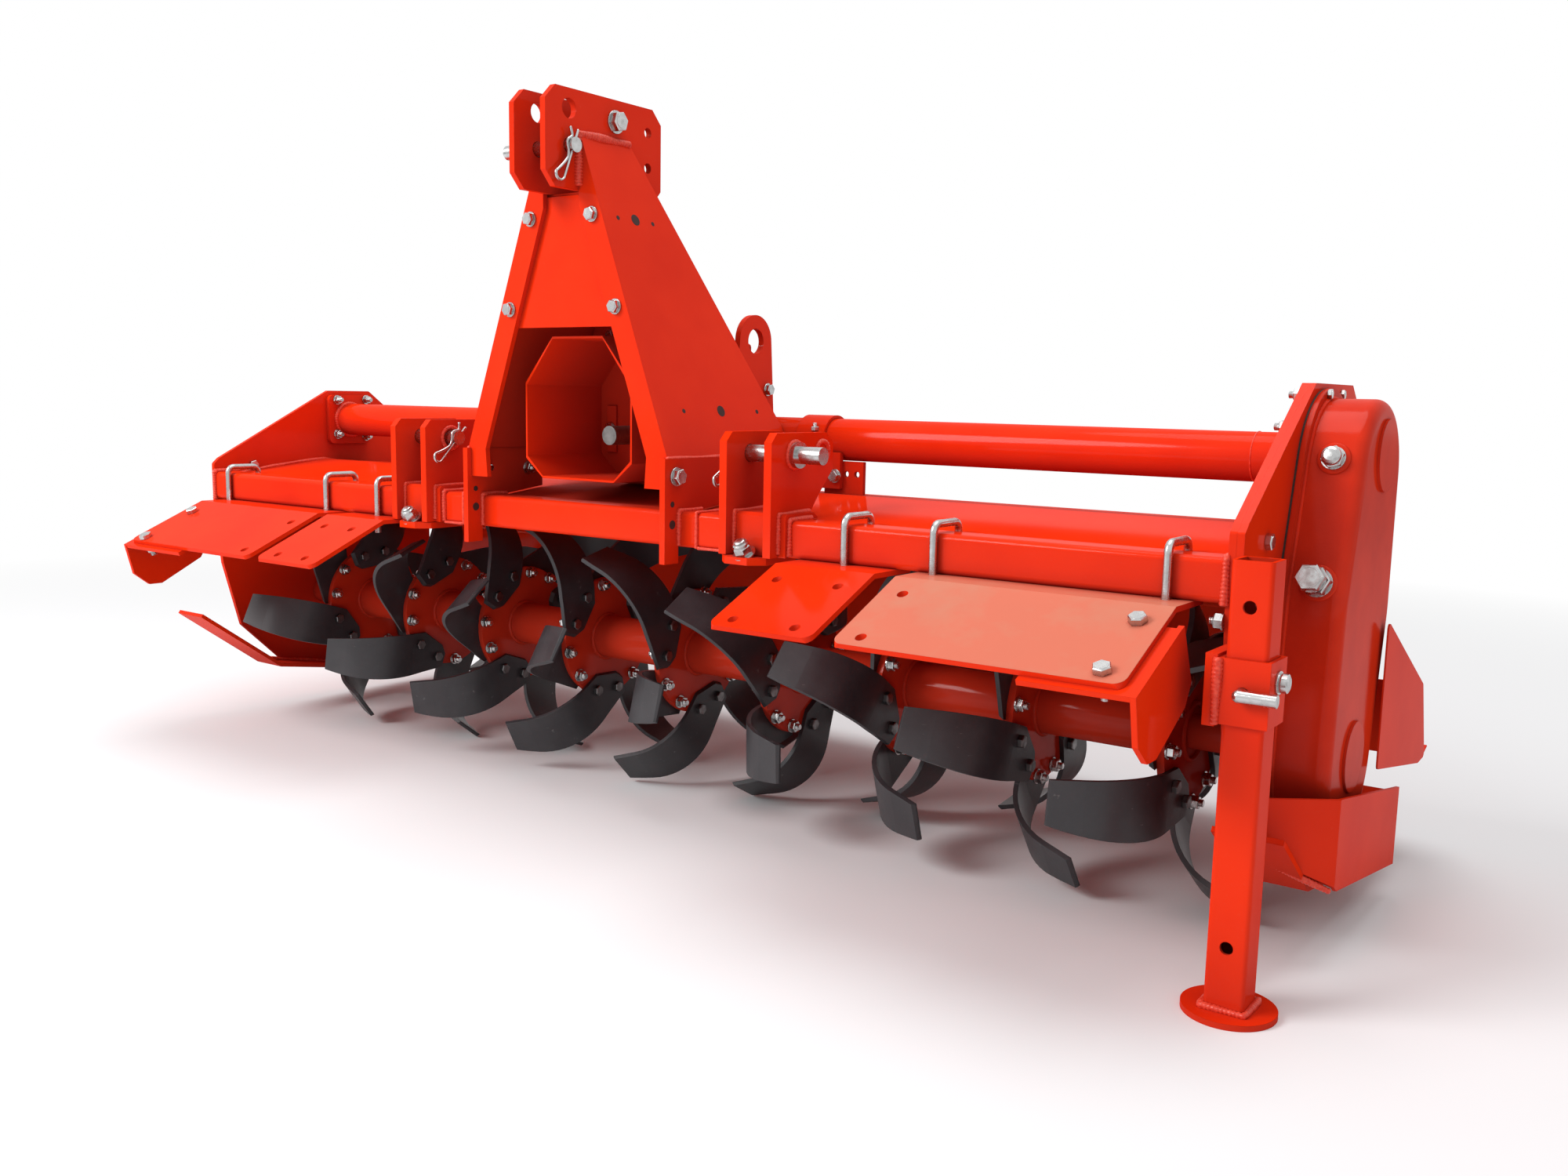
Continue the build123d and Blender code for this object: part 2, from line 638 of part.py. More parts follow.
def make_tube_flange():
    flange = extrude(
        Plane.YZ.offset(left_plate_x) * Pos(top_tube_y, top_tube_z) * RectangleRounded(
            tube_flange_size, tube_flange_size, 14), tube_flange_thickness)
    return flange - bar_x(top_tube_radius + 0.2, left_plate_x, left_plate_x + tube_flange_thickness, top_tube_y, top_tube_z)


def make_collar():
    ring = bar_x(top_tube_radius + 9, gearbox_half_width, gearbox_half_width + 14, top_tube_y, top_tube_z)
    ring += bar_x(top_tube_radius + 6, collar_x, collar_x + 62, top_tube_y, top_tube_z)
    ring += block(bracket_x - 8, bracket_x + 40, bracket_y - 10, bracket_y - 0.2, bracket_top_z - 50, bracket_top_z + 16)
    ring -= bar_x(top_tube_radius + 0.6, 0, bracket_x + 60, top_tube_y, top_tube_z)
    return ring


def make_tube_bracket():
    """A plate standing on the hood that the tube's collar is bolted to."""
    plate = block(bracket_x, bracket_x + 84, bracket_y, bracket_y + 8, hood_crest_z - 2.6, bracket_top_z)
    for x in (bracket_x + 47, bracket_x + 70):
        plate -= bar_y(5.5, bracket_y - 2, bracket_y + 10, x, bracket_top_z - 23)
    return plate


def make_stand_pin():
    """The locking pin, drawn back so that the leg can slide behind it: a rod with its end bent over as a handle."""
    front = stand_y - stand_tube / 2 - sleeve_gap - sleeve_wall
    handle_y = front - stand_pin_radius - 6
    pin = bar_y(stand_pin_radius, handle_y, front + sleeve_wall - 0.2, stand_x, stand_pin_z)
    handle = bar_x(stand_pin_radius, stand_x, stand_x + stand_pin_handle, handle_y, stand_pin_z)
    return pin + handle + Pos(stand_x, handle_y, stand_pin_z) * Sphere(stand_pin_radius)


def make_mast_tie():
    return block(-70, 70, mast_front_y + mast_leg_wall + 5.3, -170, head_foot_z - 12, head_foot_z)


def make_lifting_eye():
    face = make_hull([
        *(Pos(top_tube_y + 30, 598) * Circle(50)).edges(), *(Pos(top_tube_y + 30, 440) * Circle(62)).edges()])
    face -= Pos(top_tube_y + 30, 598) * Circle(eye_hole_radius)
    eye = extrude(Plane.YZ.offset(gearbox_half_width) * face, 12)
    return eye - bar_x(top_tube_radius + 9, 0, 200, top_tube_y, top_tube_z)


blade_pattern = make_blade()
blade_circle_radius = max(sqrt(tip.Y ** 2 + tip.Z ** 2) for tip in blade_pattern.vertices())
ground_z = -blade_circle_radius - ground_gap
footprint_x = (left_outer_x - 38 + guard_x + guard_wall) / 2
footprint_y = -2.16
stance = Pos(-footprint_x, -footprint_y, -ground_z)

os.makedirs("parts", exist_ok=True)

save("rotor_shaft", make_rotor_shaft())
save("blades_right_hand", *make_blades(+1))
save("blades_left_hand", *make_blades(-1))

left_points = plate_outline(32, 150, top_tube_z + left_plate_rise, beam_top_z + left_brow_rise)
right_points = plate_outline(2, 206, top_tube_z + right_plate_rise, beam_top_z + right_brow_rise)
save("side_plate_left", make_side_plate(left_points, left_plate_x, left_outer_x))
save("side_plate_right", make_side_plate(right_points, right_plate_x, right_outer_x))
save("skid_left", make_skid(left_outer_x - 16, left_skid_heel_y, left_skid_nose))
save("skid_right", make_skid(right_plate_x, right_skid_heel_y, right_skid_nose))
save("skid_guard", make_skid_guard())
save("bearing_left", make_bearing_left())
save("bearing_right", make_bearing_right())

save("front_beam", make_beam())
hood_shape = make_hood()
save("hood", hood_shape)
save("hinge_lugs", *make_hinge_lugs())
save("hinge_rod", bar_x(hinge_rod_radius, left_outer_x + 2, right_outer_x + 10, hinge_y, hinge_z))
board, cheek = make_board()
save("trailing_board", board)
save("trailing_board_cheek", cheek)

save("support_tube_left", make_top_tube(left_plate_x, -gearbox_half_width))
save("drive_tube_right", make_top_tube(gearbox_half_width, right_plate_x))
gearbox = block(-gearbox_half_width, gearbox_half_width, gearbox_front_y, gearbox_rear_y, gearbox_bottom_z, gearbox_top_z)
gearbox = fillet(gearbox.edges().filter_by(Axis.Z), 25)
gearbox += bar_y(gearbox_boss_radius, gearbox_front_y - 24, gearbox_front_y, 0, top_tube_z)
input_hole = bar_y(input_seat_radius + bore_gap, gearbox_front_y - 24, gearbox_front_y + 40, 0, top_tube_z)
save("gearbox", gearbox - input_hole)
input_tip_y = gearbox_front_y - input_length
input_shaft = bar_y(input_radius, input_tip_y, input_tip_y + input_free, 0, top_tube_z)
input_shaft += bar_y(input_seat_radius, input_tip_y + input_free, gearbox_front_y + 38, 0, top_tube_z)
save("input_shaft", input_shaft)
save("shaft_shield", make_shield())

back_low_z = -case_bottom_radius - 34
back_points = right_points[1:9] + [
    (150, back_low_z), (-100, back_low_z), (-166, -60), (-166, beam_bottom_z - 44), (plate_front_y, beam_bottom_z - 30)]
back = upright(back_points, case_back_x, gasket_x, 4)
back -= bar_x(stub_axle_radius + bore_gap, case_back_x, gasket_x, 0, 0)
save("gear_case_back", back)
gasket = extrude(Plane.YZ.offset(gasket_x) * case_section(case_flange_lip - 0.5), gasket_thickness)
save("gear_case_gasket", gasket)
save("gear_case_cover", make_case_cover())

hitch = make_lower_hitch()
save("lower_hitch_right", *hitch)
save("lower_hitch_left", *[mirrored(piece) for piece in hitch])
save("mast_tie", make_mast_tie())
pin = make_lower_pin()
save("lower_pin_right", pin)
save("lower_pin_left", mirrored(pin))
head = make_head_plate()
save("mast_head_right", head)
save("mast_head_left", mirrored(head))
leg = make_mast_leg()
save("mast_leg_right", leg)
save("mast_leg_left", mirrored(leg))
foot = make_mast_foot()
save("mast_foot_right", foot)
save("mast_foot_left", mirrored(foot))
save("mast_cover", make_mast_cover())
top_pin = bar_x(top_pin_radius, -105, 60, top_pin_y, top_pin_z)
top_pin += bar_x(top_pin_radius + 6, -58, -mast_gap / 2 - mast_plate - 0.3, top_pin_y, top_pin_z)
save("top_pin", top_pin)

save("stand_leg", make_stand_leg())
save("stand_sleeve", make_sleeve())
save("tube_flange", make_tube_flange())
save("stand_pin", make_stand_pin())
save("tube_collar", make_collar())
save("tube_bracket", make_tube_bracket())
save("lifting_eye", make_lifting_eye())

# name, from x, to x, places of the open holes
deflectors = [
    ("deflector_left_outer", -1092, -665, [-700]),
    ("deflector_left_inner", -634, -456, [-588, -502]),
    ("deflector_right_inner", 497, 677, [530, 640]),
    ("deflector_right_outer", 713, 1130, [750]),
]
hook_places = [-1069, -711, -542, 588, 744, 1096]
hook_holes = [
    Pos(x, beam_front_y - hook_radius - 1, beam_bottom_z - 60) * Cylinder(hook_radius + 0.4, 200)
    for x in hook_places]
for name, x_from, x_to, hole_places in deflectors:
    save(name, make_deflector(x_from, x_to, hole_places) - hook_holes)
save("wing_left", make_wing(-897, -1110))
save("wing_right", make_wing(994, 1150))
save("hooks", *[make_hook(x) for x in hook_places])
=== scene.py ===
# A three-point rotary tiller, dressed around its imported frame: paint, fasteners, welds and clips.
import json
import math
import bpy
import numpy as np
from mathutils import Matrix, Vector


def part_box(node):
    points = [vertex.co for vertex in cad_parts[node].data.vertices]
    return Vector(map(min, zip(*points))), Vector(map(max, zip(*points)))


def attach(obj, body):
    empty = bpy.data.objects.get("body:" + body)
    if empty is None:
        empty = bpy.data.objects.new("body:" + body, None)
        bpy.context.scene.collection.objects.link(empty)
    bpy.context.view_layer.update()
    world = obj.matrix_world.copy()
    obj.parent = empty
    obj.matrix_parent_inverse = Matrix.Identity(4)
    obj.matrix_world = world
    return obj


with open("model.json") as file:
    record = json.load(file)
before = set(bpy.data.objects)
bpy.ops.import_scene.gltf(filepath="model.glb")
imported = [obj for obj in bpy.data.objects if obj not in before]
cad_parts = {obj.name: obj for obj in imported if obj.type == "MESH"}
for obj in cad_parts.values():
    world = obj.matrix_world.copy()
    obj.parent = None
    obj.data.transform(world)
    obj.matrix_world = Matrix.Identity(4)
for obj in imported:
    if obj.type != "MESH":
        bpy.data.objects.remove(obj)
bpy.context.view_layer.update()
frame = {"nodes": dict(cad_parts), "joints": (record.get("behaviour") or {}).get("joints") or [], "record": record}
nodes = frame["nodes"]
joints = {joint["name"]: joint for joint in frame["joints"]}
rotorAxis = np.array(joints["rotor_spin"]["pos_m"])  # the rotor's line, in the middle of the hitch
print("frame loaded:", len(nodes), "nodes")


# A place in the row frame from millimetres off the rotor's line and the middle of the hitch.
def at(x, y, z):
    return rotorAxis + np.array([x, y, z]) / 1000


# A node's box in those same millimetres.
def boxOf(name):
    low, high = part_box(name)
    return (np.array(low) - rotorAxis) * 1000, (np.array(high) - rotorAxis) * 1000


class Wire:
    # a shader socket that can stand in a sum; each operator adds one Math node
    def __init__(self, finish, socket):
        self.finish = finish
        self.socket = socket

    def mathNode(self, operation, a, b):
        return self.finish.node("ShaderNodeMath", {"operation": operation}, {0: a, 1: b})

    def __add__(self, other):
        return self.mathNode("ADD", self, other)

    def __radd__(self, other):
        return self.mathNode("ADD", other, self)

    def __sub__(self, other):
        return self.mathNode("SUBTRACT", self, other)

    def __rsub__(self, other):
        return self.mathNode("SUBTRACT", other, self)

    def __mul__(self, other):
        return self.mathNode("MULTIPLY", self, other)

    def __rmul__(self, other):
        return self.mathNode("MULTIPLY", other, self)

    def most(self, other):
        return self.mathNode("MAXIMUM", self, other)


# Painted shade in recesses: how closed in a place is, how far the test rays go, in metres, and where it begins and
# ends to count.
paintedShadeLook = {"samples": 6, "distance": 0.24, "open": 0.22, "closed": 0.80}


class Finish:
    # a node tree in the making: a new material's, or the world's where that is handed in
    def __init__(self, name, owner=None):
        self.owner = owner or bpy.data.materials.new(name)
        self.owner.use_nodes = True
        self.tree = self.owner.node_tree
        self.tree.nodes.clear()
        self.place = None

    # any node: its type, its settings, then the values or links of its sockets
    def node(self, kind, settings=None, sockets=None, out=0):
        made = self.tree.nodes.new(kind)
        for key, value in (settings or {}).items():
            setattr(made, key, value)
        for key, value in (sockets or {}).items():
            if isinstance(value, Wire):
                self.tree.links.new(value.socket, made.inputs[key])
            else:
                made.inputs[key].default_value = value
        return Wire(self, made.outputs[out])

    def objectPlace(self):
        if self.place is None:
            self.place = self.node("ShaderNodeTexCoord", out="Object")
        return self.place

    def noise(self, scale, detail=2.0, rough=0.5, stretch=None):
        place = self.objectPlace()
        if stretch:
            place = self.node("ShaderNodeMapping", {}, {"Vector": place, "Scale": stretch})
        return self.node("ShaderNodeTexNoise", {}, {
            "Vector": place, "Scale": scale, "Detail": detail, "Roughness": rough})

    # the value between low and high, stretched over 0 to 1
    def band(self, value, low, high):
        return self.node("ShaderNodeMapRange", {"clamp": True}, {
            "Value": value, "From Min": low, "From Max": high})

    def mix(self, amount, a, b):
        def colour(value):
            return value if isinstance(value, Wire) else (*value, 1)
        return self.node(
            "ShaderNodeMix", {"data_type": "RGBA"}, {"Factor": amount, 6: colour(a), 7: colour(b)}, out=2)

    def bump(self, height, strength, distance, normal=None):
        sockets = {"Height": height, "Strength": strength, "Distance": distance}
        if normal:
            sockets["Normal"] = normal
        return self.node("ShaderNodeBump", {}, sockets)

    # a corner that shades as if rounded to this radius, in metres
    def roundedEdge(self, radius):
        return self.node("ShaderNodeBevel", {"samples": 4}, {"Radius": radius})

    # painted shade: the colour darkens, and the gloss goes, where other metal stands close round a place
    def paintedShade(self):
        openness = self.node(
            "ShaderNodeAmbientOcclusion", {"samples": paintedShadeLook["samples"]},
            {"Distance": paintedShadeLook["distance"]}, out="AO")
        return self.band(1.0 - openness, paintedShadeLook["open"], paintedShadeLook["closed"])

    def surface(self, **sockets):
        named = {key.replace("_", " "): value for key, value in sockets.items()}
        self.output(self.node("ShaderNodeBsdfPrincipled", {}, named, out="BSDF"))
        return self.owner

    def output(self, shader, kind="ShaderNodeOutputMaterial"):
        made = self.tree.nodes.new(kind)
        self.tree.links.new(shader.socket, made.inputs["Surface"])


# Noise scales are in waves to the metre, edge rounding is in metres.
paintLook = {
    "colour": (0.84, 0.032, 0.004),
    "shadeColour": (0.76, 0.024, 0.003),
    "dustAndSheenColour": (0.54, 0.245, 0.16),
    "dust": 0.14,
    "paintedShadeColour": (0.36, 0.032, 0.020),
    "paintedShade": 0.85,
    "coat": 0.20,
    "coatRoughness": 0.10,
    "paintedTopSheen": 0.0,  # painted sheen: faces turned up are paled towards the dust colour, a painted reflection of a bright sky
    "roughness": 0.26,
    "edgeRound": 0.0016,
    "peel": 0.10,
    "driftScale": 5.0,
    "speckScale": 210.0,
    "patchScale": 9.0,
    "peelScale": 260.0,
    "waveScale": 14.0,
}


# Sprayed enamel: colour drifts a little over a hand's width, fine dust lies in speckles, and the coat has
# orange peel.
def makePaint(name, look):
    paint = Finish(name)
    drift = paint.band(paint.noise(look["driftScale"], 3.0, 0.55), 0.35, 0.7)
    colour = paint.mix(drift, look["colour"], look["shadeColour"])
    speck = paint.band(paint.noise(look["speckScale"], 4.0, 0.7), 0.60, 0.74)
    patch = paint.band(paint.noise(look["patchScale"], 4.0, 0.6), 0.48, 0.75)
    haze = speck * (patch * 0.8 + 0.2) * look["dust"]
    colour = paint.mix(haze, colour, look["dustAndSheenColour"])
    # Painted sheen: faces turned up are paled towards the dust colour, a painted reflection of a bright sky on
    # them.
    facing = paint.node("ShaderNodeTexCoord", out="Normal")
    upward = paint.node("ShaderNodeSeparateXYZ", {}, {"Vector": facing}, out="Z")
    paintedTopSheen = paint.band(upward, 0.80, 0.90) * (patch * 0.25 + 0.75) * look["paintedTopSheen"]
    colour = paint.mix(paintedTopSheen, colour, look["dustAndSheenColour"])
    # painted shade: the red darkens towards the painted shade colour where the place is closed in
    closed = paint.paintedShade()
    colour = paint.mix(closed * look["paintedShade"], colour, look["paintedShadeColour"])
    roughness = look["roughness"] + patch * 0.10 + speck * 0.06
    peel = paint.noise(look["peelScale"])
    wave = paint.noise(look["waveScale"])
    normal = paint.bump(wave, 0.06, 0.004, paint.roundedEdge(look["edgeRound"]))
    normal = paint.bump(peel, look["peel"], 0.0006, normal)
    return paint.surface(
        Base_Color=colour, Roughness=roughness, Normal=normal, Specular_IOR_Level=0.0,
        Coat_Weight=(1.0 - closed) * look["coat"], Coat_Roughness=look["coatRoughness"])


castingLook = {
    "colour": (0.74, 0.034, 0.008),
    "shadeColour": (0.60, 0.024, 0.006),
    "paintedShadeColour": (0.36, 0.032, 0.020),
    "paintedShade": 0.6,
    "coat": 0.24,
    "coatRoughness": 0.13,
    "roughness": 0.26,
    "grain": 0.32,
    "edgeRound": 0.003,
    "driftScale": 7.0,
    "grainScale": 330.0,
    "lumpScale": 42.0,
}


# The same enamel over sand-cast iron: the grain of the mould shows through.
def makeCasting(name, look):
    casting = Finish(name)
    drift = casting.band(casting.noise(look["driftScale"], 3.0, 0.6), 0.35, 0.7)
    colour = casting.mix(drift, look["colour"], look["shadeColour"])
    # painted shade: the red darkens towards the painted shade colour where the place is closed in
    closed = casting.paintedShade()
    colour = casting.mix(closed * look["paintedShade"], colour, look["paintedShadeColour"])
    grain = casting.noise(look["grainScale"], 5.0, 0.65)
    lumps = casting.noise(look["lumpScale"], 3.0)
    normal = casting.bump(lumps, 0.16, 0.003, casting.roundedEdge(look["edgeRound"]))
    normal = casting.bump(grain, look["grain"], 0.0009, normal)
    return casting.surface(
        Base_Color=colour, Roughness=look["roughness"] + grain * 0.16, Normal=normal, Specular_IOR_Level=0.0,
        Coat_Weight=(1.0 - closed) * look["coat"], Coat_Roughness=look["coatRoughness"])


weldLook = {
    # painted light: the bead's colour is paler and pinker than the enamel, to offset its own shade
    "colour": (0.86, 0.085, 0.045),
    "shadeColour": (0.66, 0.030, 0.012),
    "roughness": 0.30,
    "coat": 0.2,
    "grainScale": 240.0,
}


# Thin enamel over a weld: its grain shows as pale and dark flecks. The bead is also painted paler and pinker than
# the enamel, as painted light to offset the shade it sits in.
def makeWeldPaint(name, look):
    weld = Finish(name)
    grain = weld.noise(look["grainScale"], 4.0, 0.65)
    colour = weld.mix(weld.band(grain, 0.35, 0.65), look["shadeColour"], look["colour"])
    normal = weld.bump(grain, 0.4, 0.0012)
    return weld.surface(
        Base_Color=colour, Roughness=look["roughness"] + grain * 0.2, Normal=normal,
        Specular_IOR_Level=0.25, Coat_Weight=look["coat"])


bladeLook = {
    "colour": (0.024, 0.022, 0.025),
    "paleColour": (0.050, 0.048, 0.052),
    "scuffColour": (0.17, 0.165, 0.16),
    "scuff": 0.50,
    "roughness": 0.38,
    "edgeRound": 0.0012,
    "patchScale": 16.0,
    "scratchScale": 95.0,
    "scratchStretch": (0.16, 1.0, 3.2),
    "spotScale": 52.0,
    "scaleScale": 170.0,
}


# Dipped black paint on forged steel: faint scale, a dry haze in patches and a few fine scratches.
def makeBladeBlack(name, look):
    black = Finish(name)
    patch = black.band(black.noise(look["patchScale"], 4.0, 0.6), 0.42, 0.78)
    colour = black.mix(patch * 0.55, look["colour"], look["paleColour"])
    scratch = black.noise(look["scratchScale"], 3.0, 0.6, stretch=look["scratchStretch"])
    scratch = black.band(scratch, 0.70, 0.76)
    spot = black.band(black.noise(look["spotScale"], 3.0, 0.6), 0.70, 0.78)
    colour = black.mix(scratch.most(spot) * look["scuff"], colour, look["scuffColour"])
    scale = black.noise(look["scaleScale"], 4.0, 0.6)
    normal = black.bump(scale, 0.22, 0.0008, black.roundedEdge(look["edgeRound"]))
    roughness = look["roughness"] + patch * 0.12 + scale * 0.06
    return black.surface(Base_Color=colour, Roughness=roughness, Normal=normal)


zincLook = {
    "colour": (0.56, 0.56, 0.56),
    "dullColour": (0.33, 0.33, 0.32),
    "roughness": 0.17,
    "bloomScale": 70.0,
    "fineScale": 600.0,
}


# Zinc plate: bright metal with a dull bloom in patches.
def makeZinc(name, look):
    zinc = Finish(name)
    bloom = zinc.band(zinc.noise(look["bloomScale"], 4.0, 0.6), 0.40, 0.72)
    colour = zinc.mix(bloom * 0.7, look["colour"], look["dullColour"])
    normal = zinc.bump(zinc.noise(look["fineScale"]), 0.05, 0.0004)
    return zinc.surface(
        Base_Color=colour, Metallic=1.0, Roughness=look["roughness"] + bloom * 0.22, Normal=normal)


steelLook = {
    "colour": (0.26, 0.255, 0.25),
    "shadeColour": (0.13, 0.125, 0.12),
    "roughness": 0.34,
    "turnScale": 60.0,
    "turnStretch": (1.0, 14.0, 1.0),
}


# Bare steel with the fine lines of turning.
def makeBareSteel(name, look):
    steel = Finish(name)
    turned = steel.noise(look["turnScale"], 3.0, 0.6, stretch=look["turnStretch"])
    colour = steel.mix(steel.band(turned, 0.3, 0.7), look["shadeColour"], look["colour"])
    return steel.surface(
        Base_Color=colour, Metallic=1.0, Roughness=look["roughness"] + turned * 0.2,
        Normal=steel.bump(turned, 0.2, 0.0005))


gasketLook = {
    "colour": (0.045, 0.022, 0.016),
    "shadeColour": (0.016, 0.008, 0.006),
    "roughness": 0.60,
    "grainScale": 180.0,
}


def makeGasket(name, look):
    gasket = Finish(name)
    grain = gasket.noise(look["grainScale"], 4.0, 0.6)
    colour = gasket.mix(gasket.band(grain, 0.35, 0.65), look["shadeColour"], look["colour"])
    return gasket.surface(
        Base_Color=colour, Roughness=look["roughness"] + grain * 0.2, Normal=gasket.bump(grain, 0.4, 0.001))


# Painted shade for open holes: a near-black red, with a little grain.
holeShadeLook = {
    "colour": (0.045, 0.012, 0.009),
    "shadeColour": (0.020, 0.006, 0.005),
    "roughness": 0.8,
    "grainScale": 90.0,
}


def makeHoleShadePainted(name, look):
    hole = Finish(name)
    colour = hole.mix(hole.noise(look["grainScale"]), look["shadeColour"], look["colour"])
    return hole.surface(Base_Color=colour, Roughness=look["roughness"])


redPaint = makePaint("redPaint", paintLook)
holeShadePainted = makeHoleShadePainted("holeShadePainted", holeShadeLook)
redCasting = makeCasting("redCasting", castingLook)
redWeld = makeWeldPaint("redWeld", weldLook)
bladeBlack = makeBladeBlack("bladeBlack", bladeLook)
zincPlate = makeZinc("zincPlate", zincLook)
darkZinc = makeZinc("darkZinc", {
    **zincLook, "colour": (0.20, 0.19, 0.19), "dullColour": (0.09, 0.085, 0.085), "roughness": 0.30})
bareSteel = makeBareSteel("bareSteel", steelLook)
gasketDark = makeGasket("gasketDark", gasketLook)
finishes = {
    "red_paint": redPaint, "red_casting": redCasting, "blade_black": bladeBlack,
    "zinc_steel": zincPlate, "bare_steel": bareSteel, "gasket": gasketDark}
# two pieces keep their own coat: one deflector has a painted reflection of a bright sky on its upturned faces, and
# the rotor's red is darker and duller, as painted shade under the hood
ownFinish = {
    "deflector_right_outer": makePaint("redPaintTopSheen", {**paintLook, "paintedTopSheen": 0.85}),
    # painted shade: the rotor, under the hood, gets a darker copy of the red
    "rotor_shaft": makePaint("redPaintRotorShade", {
        **paintLook, "colour": (0.64, 0.038, 0.013), "shadeColour": (0.53, 0.030, 0.010), "coat": 0.30}),
}
for subpart in frame["record"]["subparts"]:
    mesh = nodes[subpart["node"]].data
    for index in range(len(mesh.materials)):
        mesh.materials[index] = ownFinish.get(subpart["node"], finishes[subpart["material_slot"]])
print("finishes made:", len(bpy.data.materials))


# A form is its points, in millimetres, and its faces: a list of whole arrays, one for each count of corners.
def makePiece(name, form, body, material, smooth=False):
    points, faces = form
    mesh = bpy.data.meshes.new(name)
    mesh.from_pydata(points.tolist(), [], [face for block in faces for face in block.tolist()])
    mesh.polygons.foreach_set("use_smooth", np.full(len(mesh.polygons), smooth))
    mesh.materials.append(material)
    piece = bpy.data.objects.new(name, mesh)
    bpy.context.scene.collection.objects.link(piece)
    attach(piece, body)
    return piece


# Quads over a grid of rows by columns, closed round the columns: each joins a corner, the next one along its
# row, and the same two a row on.
def gridFaces(rows, columns):
    row, column = np.meshgrid(np.arange(rows - 1), np.arange(columns), indexing="ij")
    beside = (column + 1) % columns
    corners = [
        row * columns + column, row * columns + beside,
        (row + 1) * columns + beside, (row + 1) * columns + column]
    return np.stack(corners, -1).reshape(-1, 4)


# Two faces that close such a grid: the first row turned about, and the last row.
def capsOf(rows, columns):
    first = np.arange(columns)
    return np.stack([first[::-1], (rows - 1) * columns + first])


# Rows of one matrix: two directions square to the axis, then the axis.
def squareTo(axis):
    axis = np.asarray(axis, float) / np.linalg.norm(axis)
    helper = np.array([0.0, 0.0, 1.0]) if abs(axis[2]) < 0.9 else np.array([0.0, 1.0, 0.0])
    side = np.cross(helper, axis)
    side = side / np.linalg.norm(side)
    return np.stack([side, np.cross(axis, side), axis])


# A stack of rings along z, capped at both ends: the point at turn t of a ring is radius * (cos t, sin t) at
# its height.
def ringStack(rings, sides):
    turn = np.linspace(0, 2 * np.pi, sides, endpoint=False)
    radius, height = np.array(rings, float).T[:, :, None]
    grid = np.stack([radius * np.cos(turn), radius * np.sin(turn), height + 0 * turn], -1)
    return grid.reshape(-1, 3), [gridFaces(len(rings), sides), capsOf(len(rings), sides)]


# Forms laid end to end as one: each form's faces count on from the points before it.
def joined(forms):
    starts = np.cumsum([0] + [len(points) for points, faces in forms])
    faces = [block + start for start, (points, blocks) in zip(starts, forms) for block in blocks]
    return np.concatenate([points for points, faces in forms]), faces


# Millimetres off the rotor's line to metres in the row frame.
def inRow(form):
    return at(0, 0, 0) + form[0] / 1000, form[1]


# One small form set down at many seats: (place, axis, turn about it). The form's z goes along the axis.
def setDown(form, seats):
    points, faces = form
    places = np.array([place for place, axis, turn in seats], float)
    turns = np.array([turn for place, axis, turn in seats], float)
    cos, sin, zero, one = np.cos(turns), np.sin(turns), 0 * turns, 0 * turns + 1
    spins = np.stack([cos, sin, zero, -sin, cos, zero, zero, zero, one], -1).reshape(-1, 3, 3)
    frames = np.stack([squareTo(axis) for place, axis, turn in seats])
    spread = places[:, None] + points @ spins @ frames
    starts = len(points) * np.arange(len(seats))[:, None, None]
    faces = [(block + starts).reshape(-1, block.shape[1]) for block in faces]
    return inRow((spread.reshape(-1, 3), faces))


# The same seats on the other side of the middle.
def mirrored(seats):
    return [((-x, y, z), (-a, b, c), -turn) for (x, y, z), (a, b, c), turn in seats]


# A fastener's parts as shares of its size across the flats, rings as (radius, height); the washers' thickness
# is in millimetres.
boltLook = {
    "head": 0.44, "nut": 0.56, "lockNut": 0.66, "thread": 0.32,
    "washer": 0.66, "washerThick": 2.6, "broadWasher": 0.72, "broadThick": 3.0,
    "pad": [(0.42, 0.43), (0.41, 0.46)],
    "collar": [(0.48, 0.16), (0.40, 0.24)],
    "lockNutEnd": [(0.31, 0.0), (0.31, 0.32), (0.24, 0.36)],
}


# A hexagon: across the flats, height; its six corners are turned off a little at both ends.
def hexForm(flats, height, base=0.0):
    corner = flats / math.sqrt(3)
    return ringStack([
        (corner * 0.96, base), (corner, base + 0.6),
        (corner, base + height * 0.86), (corner * 0.90, base + height)], 6)


# A washer's outside: a disc whose two rims are broken by about a third of a millimetre.
def washerForm(radius, thickness, base=0.0):
    return ringStack([
        (radius - 0.3, base), (radius, base + 0.4),
        (radius, base + thickness - 0.4), (radius - 0.3, base + thickness)], 24)


# A threaded end: the radius rises and falls once for each turn of the thread.
def threadForm(radius, length, base, pitch=2.0):
    count = max(int(length / pitch) * 2, 2)
    height = np.linspace(base, base + length, count + 1)
    depth = np.where(np.arange(count + 1) % 2 == 0, 1.0, 0.88)
    rings = np.stack([radius * depth, height], -1).tolist()
    rings.append([radius * 0.78, base + length + 1.0])
    return ringStack(rings, 14)


# A washer under other forms, where it is wanted, and the height that they stand on.
def underWasher(flats, washer):
    if not washer:
        return [], 0.0
    thickness = boltLook["washerThick"]
    return [washerForm(flats * boltLook["washer"], thickness)], thickness


# A bolt's head: a hexagon with a low round pad on its crown.
def boltHead(flats, washer=True):
    ground, base = underWasher(flats, washer)
    head = hexForm(flats, flats * boltLook["head"], base)
    pad = ringStack([(flats * radius, base + flats * height) for radius, height in boltLook["pad"]], 24)
    return joined([head, pad, *ground])


